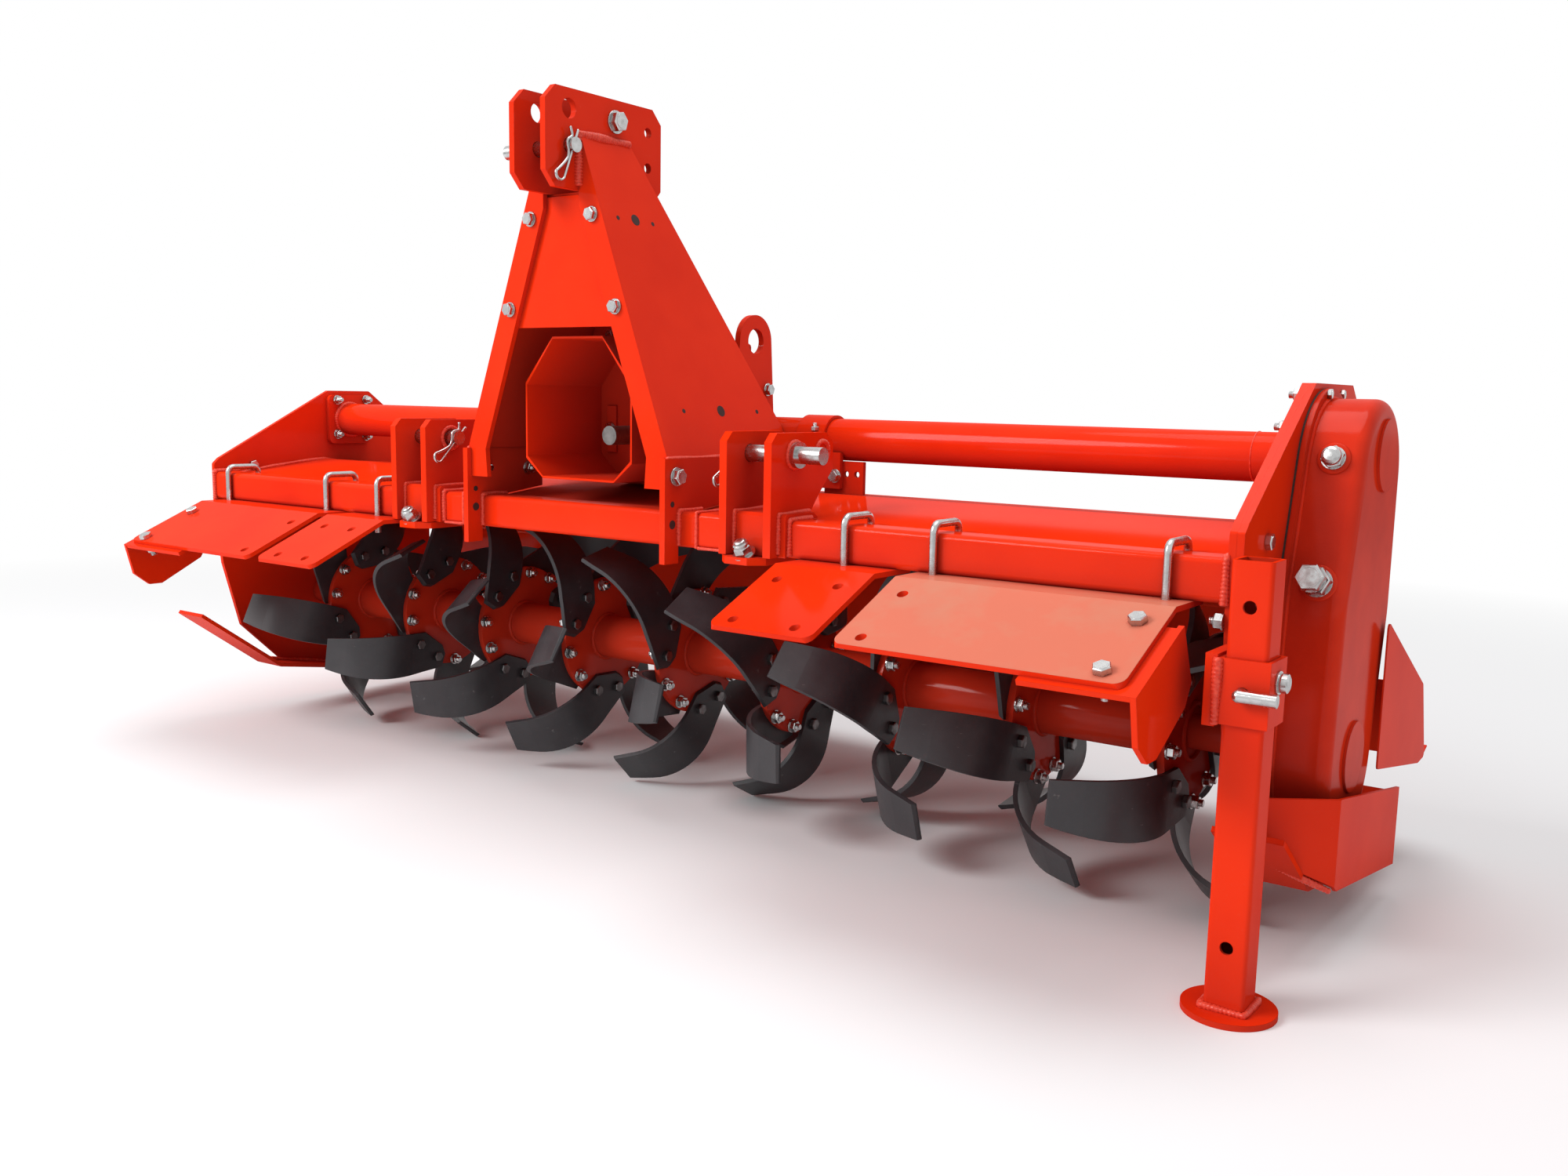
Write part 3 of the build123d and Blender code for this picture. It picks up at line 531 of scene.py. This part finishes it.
# A nut, and the bolt's threaded end standing out of it.
def nutAndEnd(flats, threadLength, washer=True):
    ground, base = underWasher(flats, washer)
    nut = hexForm(flats, flats * boltLook["nut"], base)
    thread = threadForm(flats * boltLook["thread"], threadLength, base + flats * (boltLook["nut"] - 0.02))
    return joined([nut, thread, *ground])


# A lock nut: the hexagon ends in a round collar with a plastic ring, and the bolt's end shows in it.
def lockNut(flats):
    height = flats * boltLook["lockNut"]
    thickness = boltLook["broadThick"]
    collar = ringStack([(flats * 0.49, height - 1)] + [
        (flats * radius, height + flats * rise) for radius, rise in boltLook["collar"]], 24)
    end = ringStack([
        (flats * radius, height + flats * rise) for radius, rise in boltLook["lockNutEnd"]], 20)
    washer = washerForm(flats * boltLook["broadWasher"], thickness)
    return joined([washer, hexForm(flats, height - 2, thickness), collar, end])


# A box between two corners.
def blockForm(low, high):
    corners = np.array([low, high], float)
    pick = np.array([
        [0, 0, 0], [1, 0, 0], [1, 1, 0], [0, 1, 0], [0, 0, 1], [1, 0, 1], [1, 1, 1], [0, 1, 1]])
    faces = np.array([
        [0, 3, 2, 1], [4, 5, 6, 7], [0, 1, 5, 4], [1, 2, 6, 5], [2, 3, 7, 6], [3, 0, 4, 7]])
    return corners[pick, np.arange(3)], [faces]


driftShare = 0.6  # of the ripple's swell
driftLength = 17.0  # millimetres to a radian


# A profile carried along a path: at each step a ring of so many sides stands square to the path. Its radius
# swells and falls once per ripple, as sin squared, and drifts by a slow sine, as in a weld laid by hand.
def carried(path, radius, sides=8, step=2.0, ripple=0.0, swell=0.0, closed=False):
    corners = np.array(path, float)
    if closed:
        corners = np.concatenate([corners, corners[:1]])
    reach = np.concatenate([[0.0], np.cumsum(np.linalg.norm(np.diff(corners, axis=0), axis=1))])
    count = max(int(reach[-1] / step), 3)
    along = np.linspace(0, reach[-1], count + 1)
    line = np.stack([np.interp(along, reach, corners[:, axis]) for axis in range(3)], -1)
    ahead = np.gradient(line, axis=0)
    if closed:
        ahead[0] = ahead[-1] = line[1] - line[-2]
    ahead /= np.linalg.norm(ahead, axis=1)[:, None]
    across = np.cross(line[0] - line[count // 4], line[0] - line[count // 2])
    if np.linalg.norm(across) < 1e-3 * reach[-1] ** 2:
        across = np.cross(corners[1] - corners[0], corners[-1] - corners[-2])
    if np.linalg.norm(across) < 1e-3:
        across = squareTo(corners[1] - corners[0])[0]
    side = np.cross(ahead, across)
    side /= np.linalg.norm(side, axis=1)[:, None]
    up = np.cross(side, ahead)
    wave = np.ones(count + 1)
    if ripple:
        drift = driftShare * np.sin(along / driftLength + corners[0, 0])
        wave += swell * (np.sin(np.pi * along / ripple) ** 2 + drift)
    turn = np.linspace(0, 2 * np.pi, sides, endpoint=False)
    ring = side[:, None] * np.cos(turn)[:, None] + up[:, None] * np.sin(turn)[:, None]
    grid = line[:, None] + ring * (radius * wave)[:, None, None]
    faces = [gridFaces(count + 1, sides)]
    if not closed:
        faces.append(capsOf(count + 1, sides))
    return grid.reshape(-1, 3), faces


# Points round a circle about an axis, the first one turned on by start.
def circle(centre, axis, radius, start=0.0, count=48):
    side, up, ahead = squareTo(axis)
    turn = np.linspace(start, start + 2 * math.pi, count, endpoint=False)[:, None]
    return np.array(centre, float) + radius * (side * np.cos(turn) + up * np.sin(turn))


# The rotor: every blade is held by two bolts, heads on the blade and nuts on the flange's other face.
rotorLook = {
    "lastFlange": 1043.0, "pitch": 244.5, "endGap": 270.0, "flanges": 9, "flangeHalf": 6.0,
    "lastTurn": 103.6, "step": 17.1, "blades": 3, "bladeThickness": 8.0,
    "bolts": ((41.0, 106.0), (85.0, 68.0)),  # along the root's radius and across it, to the trailing side
    "flats": 19.0, "threadShows": 6.0, "tubeRadius": 43.0,
    "bead": {"radius": 4.5, "sides": 6, "step": 3.0, "ripple": 6.0, "swell": 0.12},
}
flangePlaces = [
    rotorLook["lastFlange"] - index * rotorLook["pitch"] for index in range(rotorLook["flanges"] - 1)]
flangePlaces.append(flangePlaces[-1] - rotorLook["endGap"])


# Each bolt lies on its blade's root line: out along the radius at the blade's turn, then square to it towards
# the trailing side. Blades that curl the other way stand half a step round.
def bladeBoltSeats(look, curlSide):
    heads, nuts = [], []
    for index, place in enumerate(flangePlaces):
        for number in range(look["blades"]):
            degrees = look["lastTurn"] - index * look["step"] + number * 360 / look["blades"]
            turn = math.radians(degrees + (180 / look["blades"] if curlSide > 0 else 0))
            for radial, trailing in look["bolts"]:
                y = -radial * math.cos(turn) - trailing * math.sin(turn)
                z = -radial * math.sin(turn) + trailing * math.cos(turn)
                head = place - curlSide * (look["flangeHalf"] + look["bladeThickness"])
                heads.append(((head, y, z), (-curlSide, 0, 0), turn + radial))
                nuts.append(((place + curlSide * look["flangeHalf"], y, z), (curlSide, 0, 0), turn * 1.7))
    return heads, nuts


rightHeads, rightNuts = bladeBoltSeats(rotorLook, +1)
leftHeads, leftNuts = bladeBoltSeats(rotorLook, -1)
makePiece("bladeBoltHeads", setDown(boltHead(rotorLook["flats"], False), rightHeads + leftHeads),
          "rotor", darkZinc)
bladeNut = nutAndEnd(rotorLook["flats"], rotorLook["threadShows"])
makePiece("bladeNuts", setDown(bladeNut, rightNuts + leftNuts), "rotor", zincPlate)
flangeBeads = [
    carried(circle((place + side * rotorLook["flangeHalf"], 0, 0), (1, 0, 0), rotorLook["tubeRadius"] + 1),
            **rotorLook["bead"], closed=True)
    for place in flangePlaces for side in (-1, 1)]
makePiece("flangeWelds", inRow(joined(flangeBeads)),
          "rotor", ownFinish["rotor_shaft"], smooth=True)
print("rotor bolts:", 2 * len(rightHeads))


# The deflectors slope forward from the beam: the slope, and one place on their upper face, as y and z.
deflectorLook = {"slope": 24.2, "edge": (-335.0, 239.5), "grip": 16.2, "flats": 22}
deflectorSlope = math.radians(deflectorLook["slope"])
deflectorUp = (0.0, -math.sin(deflectorSlope), math.cos(deflectorSlope))


# The upper face falls from that place by the tangent of the slope; down goes square into the plate.
def onDeflector(x, y, down=0.0):
    edgeY, edgeZ = deflectorLook["edge"]
    top = edgeZ - (edgeY - y) * math.tan(deflectorSlope)
    return np.array([x, y, top]) - down * np.array(deflectorUp)


# The mast leg's outer side leans in as it rises: its foot's x and z, what it loses in x for its height, and
# the way it faces.
legLook = {"foot": (245.0, 388.0), "lean": 0.3687}
legFacing = (0.938, 0.0, 0.346)


def onLeg(y, z):
    footX, footZ = legLook["foot"]
    return footX - legLook["lean"] * (z - footZ), y, z


deflectorBolts = ((1096, -375), (1096, -481), (-1052, -381), (-1052, -488))
hookPlaces = (-1069, -711, -542, 588, 744, 1096)
hookThread = 6.3

# Fasteners that stay still: their form, with its size across the flats, the way they face, and their places;
# "both" sets a mirrored one too.
fasteners = [
    {"name": "deflectorHeads", "form": boltHead(deflectorLook["flats"], False), "axis": deflectorUp,
     "places": [onDeflector(x, y) for x, y in deflectorBolts]},
    {"name": "deflectorNuts", "form": nutAndEnd(deflectorLook["flats"], 9),
     "axis": tuple(-part for part in deflectorUp),
     "places": [onDeflector(x, y, deflectorLook["grip"]) for x, y in deflectorBolts]},
    {"name": "hookThreadsUp", "form": threadForm(hookThread, 24, 0), "axis": (0, 0, 1),
     "places": [(x, -282, 239.7) for x in hookPlaces]},
    {"name": "hookThreadsDown", "form": threadForm(hookThread, 15, 0), "axis": (0, 0, -1),
     "places": [(x, -282, 221.5) for x in hookPlaces]},
    {"name": "hitchLockNuts", "form": lockNut(27), "axis": (0, -0.55, 0.83), "both": True,
     "places": [(410, -301, 243)]},
    {"name": "mastCoverBolts", "form": boltHead(20), "axis": (0, -1, 0), "both": True,
     "places": [(74, -300, 792), (128, -300, 638)]},
    {"name": "mastHeadBolt", "form": boltHead(30), "axis": (1, 0, 0), "places": [(43, -210, 959)]},
    {"name": "mastHeadNut", "form": nutAndEnd(30, 12), "axis": (-1, 0, 0), "places": [(-43, -210, 959)]},
    {"name": "eyeBolts", "form": boltHead(19), "axis": (1, 0, 0),
     "places": [(110, 153, 506), (110, 150, 457)]},
    {"name": "shieldBolt", "form": boltHead(17), "axis": (0, -1, 0), "both": True,
     "places": [(-96, -73, 427), (-103, -64, 604)]},
    {"name": "footOuterBolts", "form": boltHead(24), "axis": (1, 0, 0), "both": True,
     "places": [(249, -282, 358)]},
    {"name": "footInnerNuts", "form": nutAndEnd(19, 7), "axis": (-1, 0, 0), "both": True,
     "places": [(237, -269, 351), (237, -159, 347)]},
    {"name": "tubeFlangeNuts", "form": nutAndEnd(17, 8), "axis": (1, 0, 0),
     "places": [(-1124, 48, 464), (-1124, 132, 465), (-1124, 47, 381), (-1124, 130, 375)]},
    {"name": "strapBolt", "form": boltHead(19), "axis": (0, -1, 0), "places": [(348, 46, 352)]},
    {"name": "collarBolt", "form": nutAndEnd(13, 6, False), "axis": (0, 0, 1), "places": [(303, 42, 433)]},
    {"name": "caseInnerNuts", "form": nutAndEnd(17, 7), "axis": (-1, 0, 0),
     "places": [(1172, 12, 510), (1172, -48, 465), (1172, 146, 470), (1172, 168, 330)]},
    {"name": "caseOuterHeads", "form": boltHead(13, False), "axis": (1, 0, 0),
     "places": [(1203, 25, 512), (1192, 140, 512)]},
    {"name": "plateBolts", "form": boltHead(20, False), "axis": (1, 0, 0),
     "places": [(1192, -182, 316), (1192, -239, 215), (1192, -178, 212), (-1136, -178, 312)]},
    {"name": "plateInnerNut", "form": nutAndEnd(19, 7), "axis": (-1, 0, 0), "places": [(1172, -271, 217)]},
    {"name": "capBolts", "form": boltHead(17, False), "axis": (-1, 0, 0),
     "places": list(circle((-1172, 0, 0), (1, 0, 0), 67, 0.3, count=6))},
]


for row in fasteners:
    seats = [(place, row["axis"], 0.7 * index + 0.2) for index, place in enumerate(row["places"])]
    if row.get("both"):
        seats += mirrored(seats)
    makePiece(row["name"], setDown(row["form"], seats), "main_frame", zincPlate)
print("fasteners:", sum(len(row["places"]) for row in fasteners), "places")

# Open holes in the mast, drawn as painted shade: a dark disc lies a hair over each face, with half a millimetre of
# it in the metal.
openHoles = [
    {"radius": 4, "axis": legFacing, "places": [
        onLeg(-261, 789), onLeg(-173, 788), onLeg(-225, 466), onLeg(-20, 465)]},
    {"radius": 10, "axis": legFacing, "places": [onLeg(-217, 790), onLeg(-124, 466)]},
    {"radius": 5, "axis": (1, 0, 0), "places": [(249, -291, 312), (-237, -291, 312)]},
    {"radius": 7.5, "axis": (1, 0, 0), "places": [(249, -291, 278), (-237, -291, 278)]},
]
holeForms = []
for hole in openHoles:
    seats = [(place, hole["axis"], 0.0) for place in hole["places"]]
    disc = ringStack([(hole["radius"], -0.5), (hole["radius"], 0.25)], 28)
    holeForms.append(setDown(disc, seats + mirrored(seats)))
makePiece("mastHoles", joined(holeForms), "main_frame", holeShadePainted)

# The gear case's oil plug and the long adjusting bolt below it, each on its red boss: place and axis, then
# rings as (radius, height) up the axis.
caseLook = {
    "plug": ((1238, -57.7, 424), (0, -0.962, 0.274)),
    "adjuster": ((1241, -103, 257), (0, -0.965, 0.261)),
    "plugBoss": [(23, -14), (22, 2.2), (20.5, 3.2)],
    "adjusterBoss": [(26, -14), (25, 3), (23.5, 4)],
    "plugKnob": [(13, 13), (13.4, 16), (13, 20), (11.4, 22.6), (8, 24.4), (3.4, 25.3), (0.6, 25.4)],
    "adjusterRim": [(15, 51), (14.6, 52.2), (13, 52.2), (12.6, 51.4)],
}
makePiece("caseBosses", joined([
    setDown(ringStack(caseLook["plugBoss"], 40), [(*caseLook["plug"], 0.0)]),
    setDown(ringStack(caseLook["adjusterBoss"], 40), [(*caseLook["adjuster"], 0.0)])]),
    "main_frame", redCasting, smooth=True)
plugForm = joined([washerForm(16.5, 2.4, 3), hexForm(28, 9, 5.2), ringStack(caseLook["plugKnob"], 36)])
adjusterForm = joined([
    washerForm(20.5, 3, 4), hexForm(36, 18, 7), threadForm(11.6, 14, 24, 2.5),
    washerForm(19, 2.4, 34.5), hexForm(34, 15, 36.6), ringStack(caseLook["adjusterRim"], 36)])
makePiece("casePlug", setDown(plugForm, [(*caseLook["plug"], 0.3)]), "main_frame", zincPlate)
makePiece("caseAdjuster", setDown(adjusterForm, [(*caseLook["adjuster"], 0.1)]),
          "main_frame", zincPlate)

# The round nut on the outer end of the stand's pin.
pinNutLook = {"place": (1262.5, -336, 160), "knob": [(12, 2.4), (12.4, 6), (12, 12), (9, 13.4)]}
pinNut = joined([washerForm(15, 2.6), ringStack(pinNutLook["knob"], 28)])
makePiece("standPinNut", setDown(pinNut, [(pinNutLook["place"], (1, 0, 0), 0.0)]),
          "main_frame", zincPlate)

# The gearbox's top cover with its filler neck, the rib beside it, the shield's two brackets, and a strap
# across the mast between the legs. Each block is two corners.
coverLook = {
    "blocks": [
        ((-88, -52, 529), (88, 170, 545)),
        ((-72, -36, 545), (72, 154, 596)),
        ((-84, 60, 590), (-40, 150, 622))],
    "tabs": [((-108, -73, 380), (-84, -66, 470)), ((84, -73, 380), (108, -66, 470))],
    "strap": ((-138, -64, 572), (138, -56, 650)),
    "strapSpread": 1.2,  # its lower edge against its upper one, to meet the legs
    "neck": (20, -10, 596),
    "neckRings": [(34, -4), (30, 4), (29, 26), (27, 28)],
    "breatherRings": [(11, 38), (11.6, 41), (11, 45), (7, 47)],
    "boltRows": ((-80, 80), (-44, 59, 162)),
    "castRound": 0.009, "plateRound": 0.0015,  # metres
}
gearboxTop = makePiece("gearboxTop", inRow(joined([blockForm(*block) for block in coverLook["blocks"]])),
                       "main_frame", redCasting)
shieldTabs = makePiece("shieldTabs", inRow(joined([blockForm(*block) for block in coverLook["tabs"]])),
                       "main_frame", redPaint)
strapPoints, strapFaces = blockForm(*coverLook["strap"])
lowerEdge = strapPoints[:, 2] == coverLook["strap"][0][2]
strapPoints[lowerEdge, 0] *= coverLook["strapSpread"]
mastStrap = makePiece("mastStrap", inRow((strapPoints, strapFaces)), "main_frame", redPaint)
for piece, width in (
        (gearboxTop, coverLook["castRound"]), (shieldTabs, coverLook["plateRound"]),
        (mastStrap, coverLook["plateRound"])):
    rounding = piece.modifiers.new("round", "BEVEL")
    rounding.width = width
    rounding.segments = 3
neckSeats = [(coverLook["neck"], (0, 0, 1), 0.0)]
makePiece("gearboxNeck", setDown(ringStack(coverLook["neckRings"], 36), neckSeats),
          "main_frame", redCasting, smooth=True)
boltRowsX, boltRowsY = coverLook["boltRows"]
rimTop = coverLook["blocks"][0][1][2]
coverBolts = [((x, y, rimTop), (0, 0, 1), 0.4 + x) for x in boltRowsX for y in boltRowsY]
makePiece("gearboxTopBolts", setDown(boltHead(13, False), coverBolts), "main_frame", zincPlate)
breather = joined([hexForm(30, 12, 27), ringStack(coverLook["breatherRings"], 28)])
makePiece("gearboxBreather", setDown(breather, neckSeats), "main_frame", zincPlate)
print("fittings of the case and the gearbox made")

# Spring clips on the hitch pins. Lengths are in millimetres; "opens" is how far below the pin the legs part.
clipLook = {
    "wire": 2.6, "above": 28.0, "below": 58.0, "loop": 10.0, "hug": 4.6,
    "bulge": 12.0, "opens": 24.0, "flare": 1.1,
    "places": [  # x, y, z, pin radius, lean of the hanging end towards the front
        (53, -322, 903, 12.5, 0.40), (-339, -245, 402, 14, 0.95), (339, -245, 402, 14, 0.60)],
}


# An R-clip: a straight leg through the pin, a half turn, and a leg that swells over the pin by a bell curve,
# then leaves it again; the spring's far end opens out.
def clipForm(look, place):
    x, y, z, pin, lean = place
    loop = look["loop"]
    turn = np.linspace(-np.pi / 2, np.pi / 2, 14)
    down = np.linspace(look["below"], -look["above"] + 4, 60)
    swell = (pin + look["wire"] - look["hug"]) * np.exp(-(down / look["bulge"]) ** 2)
    parting = np.clip((down - look["opens"]) / (look["below"] - look["opens"]), 0, 1)
    spread = (2 * loop - look["hug"]) * parting ** 1.3
    flare = look["flare"] * np.maximum(-look["bulge"] - down, 0)
    along = np.concatenate([[-look["above"]], look["below"] + loop * np.cos(turn), down])
    aside = np.concatenate([[0.0], loop + loop * np.sin(turn), look["hug"] + swell + spread + flare])
    hang = np.array([-lean, -1.0]) / math.hypot(lean, 1.0)
    path = np.stack([
        np.full(len(along), float(x)),
        y + along * hang[0] + aside * hang[1],
        z + along * hang[1] - aside * hang[0]], -1)
    return carried(path, look["wire"], 8, 1.6)


makePiece("hitchClips", inRow(joined([clipForm(clipLook, place) for place in clipLook["places"]])),
          "main_frame", zincPlate, smooth=True)

# The gear case's section: three circles with the belt round them. For each direction the outermost circle
# gives the point.
caseCircles = np.array([(0, 0, 124), (27, 205, 139), (51, 393, 113)], float)  # y, z, radius
direction = np.linspace(0, 2 * np.pi, 360, endpoint=False)
facing = np.stack([np.cos(direction), np.sin(direction)], -1)
outermost = np.argmax(caseCircles[:, :2] @ facing.T + caseCircles[:, 2:], axis=0)
caseEdge = caseCircles[outermost, :2] + caseCircles[outermost, 2:] * facing


# A circle square to the machine's length.
def ringAt(x, y, z, radius):
    return circle((x, y, z), (1, 0, 0), radius)


hoodSeam = ((-212, 295.5), (-140, 306), (-60, 316), (14, 322), (110, 306), (220, 272), (330, 232))
shaftTube = (84, 417)
wallsX = (-1134.5, 1170.5)  # just inside the end plates, where beam and hood meet them
# Weld beads of the frame: radius, paths; "both" lays a mirrored bead too.
beads = [
    {"radius": 3.4, "both": True, "paths": [
        [(x, -286.5, 246), (x, -286, 309), (x, -202, 310.5)] for x in (360, 376, 449, 465)]},
    {"radius": 4.2, "both": True, "paths": [
        [(x, -276, 243), (x, -276, 300.5), (x, -217, 300.5)] for x in (345.5, 479.5)]},
    {"radius": 2.6, "both": True, "paths": [
        [(289, -276, 240), (289, -276, 300.5), (289, -215, 300.5)], [(292, -276, 241), (344, -276, 241)]]},
    {"radius": 3.8, "both": True, "paths": [
        [(x, -276, 242), (x, -276, 300.5), (x, -216, 300.5)] for x in (250.5, 235.5)]},
    {"radius": 4.6, "paths": [
        [(x, -276, 238), (x, -276, 301), (x, -214, 301)] for x in wallsX]},
    {"radius": 3.6, "paths": [[(x, y, z) for y, z in hoodSeam] for x in wallsX]},
    {"radius": 4.4, "closed": True, "paths": [ringAt(x, *shaftTube, 39) for x in (-1123, 1170.5, -99, 99)]},
    {"radius": 1.0, "closed": True, "paths": [ringAt(1092, *shaftTube, 37.8)]},
    {"radius": 3.4, "paths": [[(318, y, 313), (402, y, 310)] for y in (55.3, 64.7)]},
    {"radius": 5.0, "paths": [
        [(1198, -369, 104), (1198, -369, 188)], [(1182, -197, 104), (1182, -197, 188)]]},
    {"radius": 3.8, "paths": [
        [(1196, -213, -100), (1296, -141, -156)],
        [(-1135, -150, -151), (-1135, 150, -206)],
        [(-1147, -150, -151), (-1147, 150, -206)]]},
    {"radius": 3.2, "both": True, "closed": True, "paths": [
        ringAt(465.2, -245, 402, 21), ringAt(359.8, -245, 402, 21)]},
    {"radius": 3.2, "both": True, "closed": True, "paths": [ringAt(465, -168, 406, 17)]},
    {"radius": 6.4, "both": True, "paths": [[(44, -301, 840), (44, -301, 925), (46, -178, 925)]]},
    {"radius": 3.2, "both": True, "paths": [[(245, -301, 388), (245, 44, 388)]]},
]
beadLook = {"sides": 8, "step": 1.6, "ripple": 5.2, "swell": 0.30}


# A bead carried along a path, with the look above.
def laidBead(path, radius, closed):
    return carried(path, radius, **beadLook, closed=closed)


beadForms = []
for row in beads:
    for path in row["paths"]:
        form = laidBead(path, row["radius"], row.get("closed", False))
        beadForms.append(form)
        if row.get("both"):
            beadForms.append((form[0] * (-1, 1, 1), [block[:, ::-1] for block in form[1]]))
makePiece("frameWelds", inRow(joined(beadForms)), "main_frame", redWeld, smooth=True)

# The weld round the leg on the stand's foot plate.
footLook = {"middle": (1230, -336), "half": 28, "plate": 10.5, "bead": 4.2}
footX, footY = footLook["middle"]
footHalf = footLook["half"]
footTop = boxOf("stand_leg")[0][2] + footLook["plate"]
footPath = [
    (footX + a * footHalf, footY + b * footHalf, footTop) for a, b in ((-1, -1), (1, -1), (1, 1), (-1, 1))]
makePiece("standFootWeld", inRow(laidBead(footPath, footLook["bead"], True)),
          "stand", redWeld, smooth=True)

# The case's rim: a low bead carried along its section.
rimX = 1203.4
rimLook = {"radius": 3.6, "sides": 8, "step": 2.0, "ripple": 6.0, "swell": 0.12}
rimPath = np.column_stack([np.full(len(caseEdge), rimX), caseEdge])
makePiece("caseWeld", inRow(carried(rimPath, **rimLook, closed=True)),
          "main_frame", redPaint, smooth=True)
print("weld beads:", len(beadForms) + 2)

# The floor is lit near the machine and passes into the white background farther off, in metres.
floorLook = {"colour": (0.86, 0.86, 0.87), "half": 40.0, "shadeFrom": 1.6, "shadeTo": 4.5}


def makeFloor(look):
    bpy.ops.mesh.primitive_plane_add(size=2 * look["half"], location=(0, 0, 0))
    floor = bpy.context.object
    floor.name = "floor"
    ground = Finish("floorPale")
    distance = ground.node(
        "ShaderNodeVectorMath", {"operation": "LENGTH"}, {0: ground.objectPlace()}, out="Value")
    far = ground.band(distance, look["shadeFrom"], look["shadeTo"])
    diffuse = ground.node("ShaderNodeBsdfDiffuse", {}, {"Color": (*look["colour"], 1)})
    white = ground.node("ShaderNodeEmission", {}, {"Color": (1, 1, 1, 1), "Strength": 1.0})
    seen = ground.node("ShaderNodeLightPath", out="Is Camera Ray")
    shader = ground.node("ShaderNodeMixShader", {}, {0: far * seen, 1: diffuse, 2: white})
    ground.output(shader)
    floor.data.materials.append(ground.owner)


makeFloor(floorLook)

# The world lights the machine softly, and is plain white where the camera or a reflection sees it.
worldLook = {"light": 0.50}
world = bpy.data.worlds.new("studio")
bpy.context.scene.world = world
sky = Finish("studio", world)
cameraRay, glossyRay, passingRay = (
    sky.node("ShaderNodeLightPath", out=name)
    for name in ("Is Camera Ray", "Is Glossy Ray", "Is Transmission Ray"))
direct = cameraRay.most(glossyRay).most(passingRay)
strength = worldLook["light"] + direct * (1.0 - worldLook["light"])
background = sky.node("ShaderNodeBackground", {}, {"Color": (1, 1, 1, 1), "Strength": strength})
sky.output(background, "ShaderNodeOutputWorld")

lampLook = [
    {"name": "keyLamp", "place": (-2.6, -4.4, 3.8), "aim": (0.1, 0.0, 0.5), "size": 3.0, "power": 272},
    {"name": "topLamp", "place": (0.6, 0.2, 5.4), "aim": (0.0, 0.0, 0.4), "size": 4.0, "power": 130},
]
for lamp in lampLook:
    light = bpy.data.lights.new(lamp["name"], "AREA")
    light.shape = "DISK"
    light.size = lamp["size"]
    light.energy = lamp["power"]
    holder = bpy.data.objects.new(lamp["name"], light)
    bpy.context.scene.collection.objects.link(holder)
    holder.location = lamp["place"]
    aim = Vector(lamp["aim"]) - Vector(lamp["place"])
    holder.rotation_euler = aim.to_track_quat("-Z", "Y").to_euler()

# Place in millimetres off the rotor's line, angles in degrees, lens in millimetres on a 36 mm sensor.
cameraLook = {
    "place": (1722.0, -1999.7, 496.1), "yaw": 36.004, "pitch": 8.275, "roll": 1.084,
    "lens": 31.0, "sensor": 36, "shift": (0.0006, 0.0022),
}
yaw, pitch, roll = (math.radians(cameraLook[key]) for key in ("yaw", "pitch", "roll"))
ahead = Vector((-math.sin(yaw) * math.cos(pitch), math.cos(yaw) * math.cos(pitch), -math.sin(pitch)))
right = Vector((math.cos(yaw), math.sin(yaw), 0))
up = right.cross(ahead)
rolledRight = right * math.cos(roll) + up * math.sin(roll)
rolledUp = up * math.cos(roll) - right * math.sin(roll)
cameraData = bpy.data.cameras.new("camera")
cameraData.sensor_width = cameraLook["sensor"]
cameraData.lens = cameraLook["lens"]
cameraData.shift_x, cameraData.shift_y = cameraLook["shift"]
camera = bpy.data.objects.new("camera", cameraData)
bpy.context.scene.collection.objects.link(camera)
turned = Matrix((rolledRight, rolledUp, -ahead)).transposed().to_4x4()
turned.translation = Vector(at(*cameraLook["place"]))
camera.matrix_world = turned
bpy.context.scene.camera = camera
bpy.context.scene.view_settings.view_transform = "Standard"
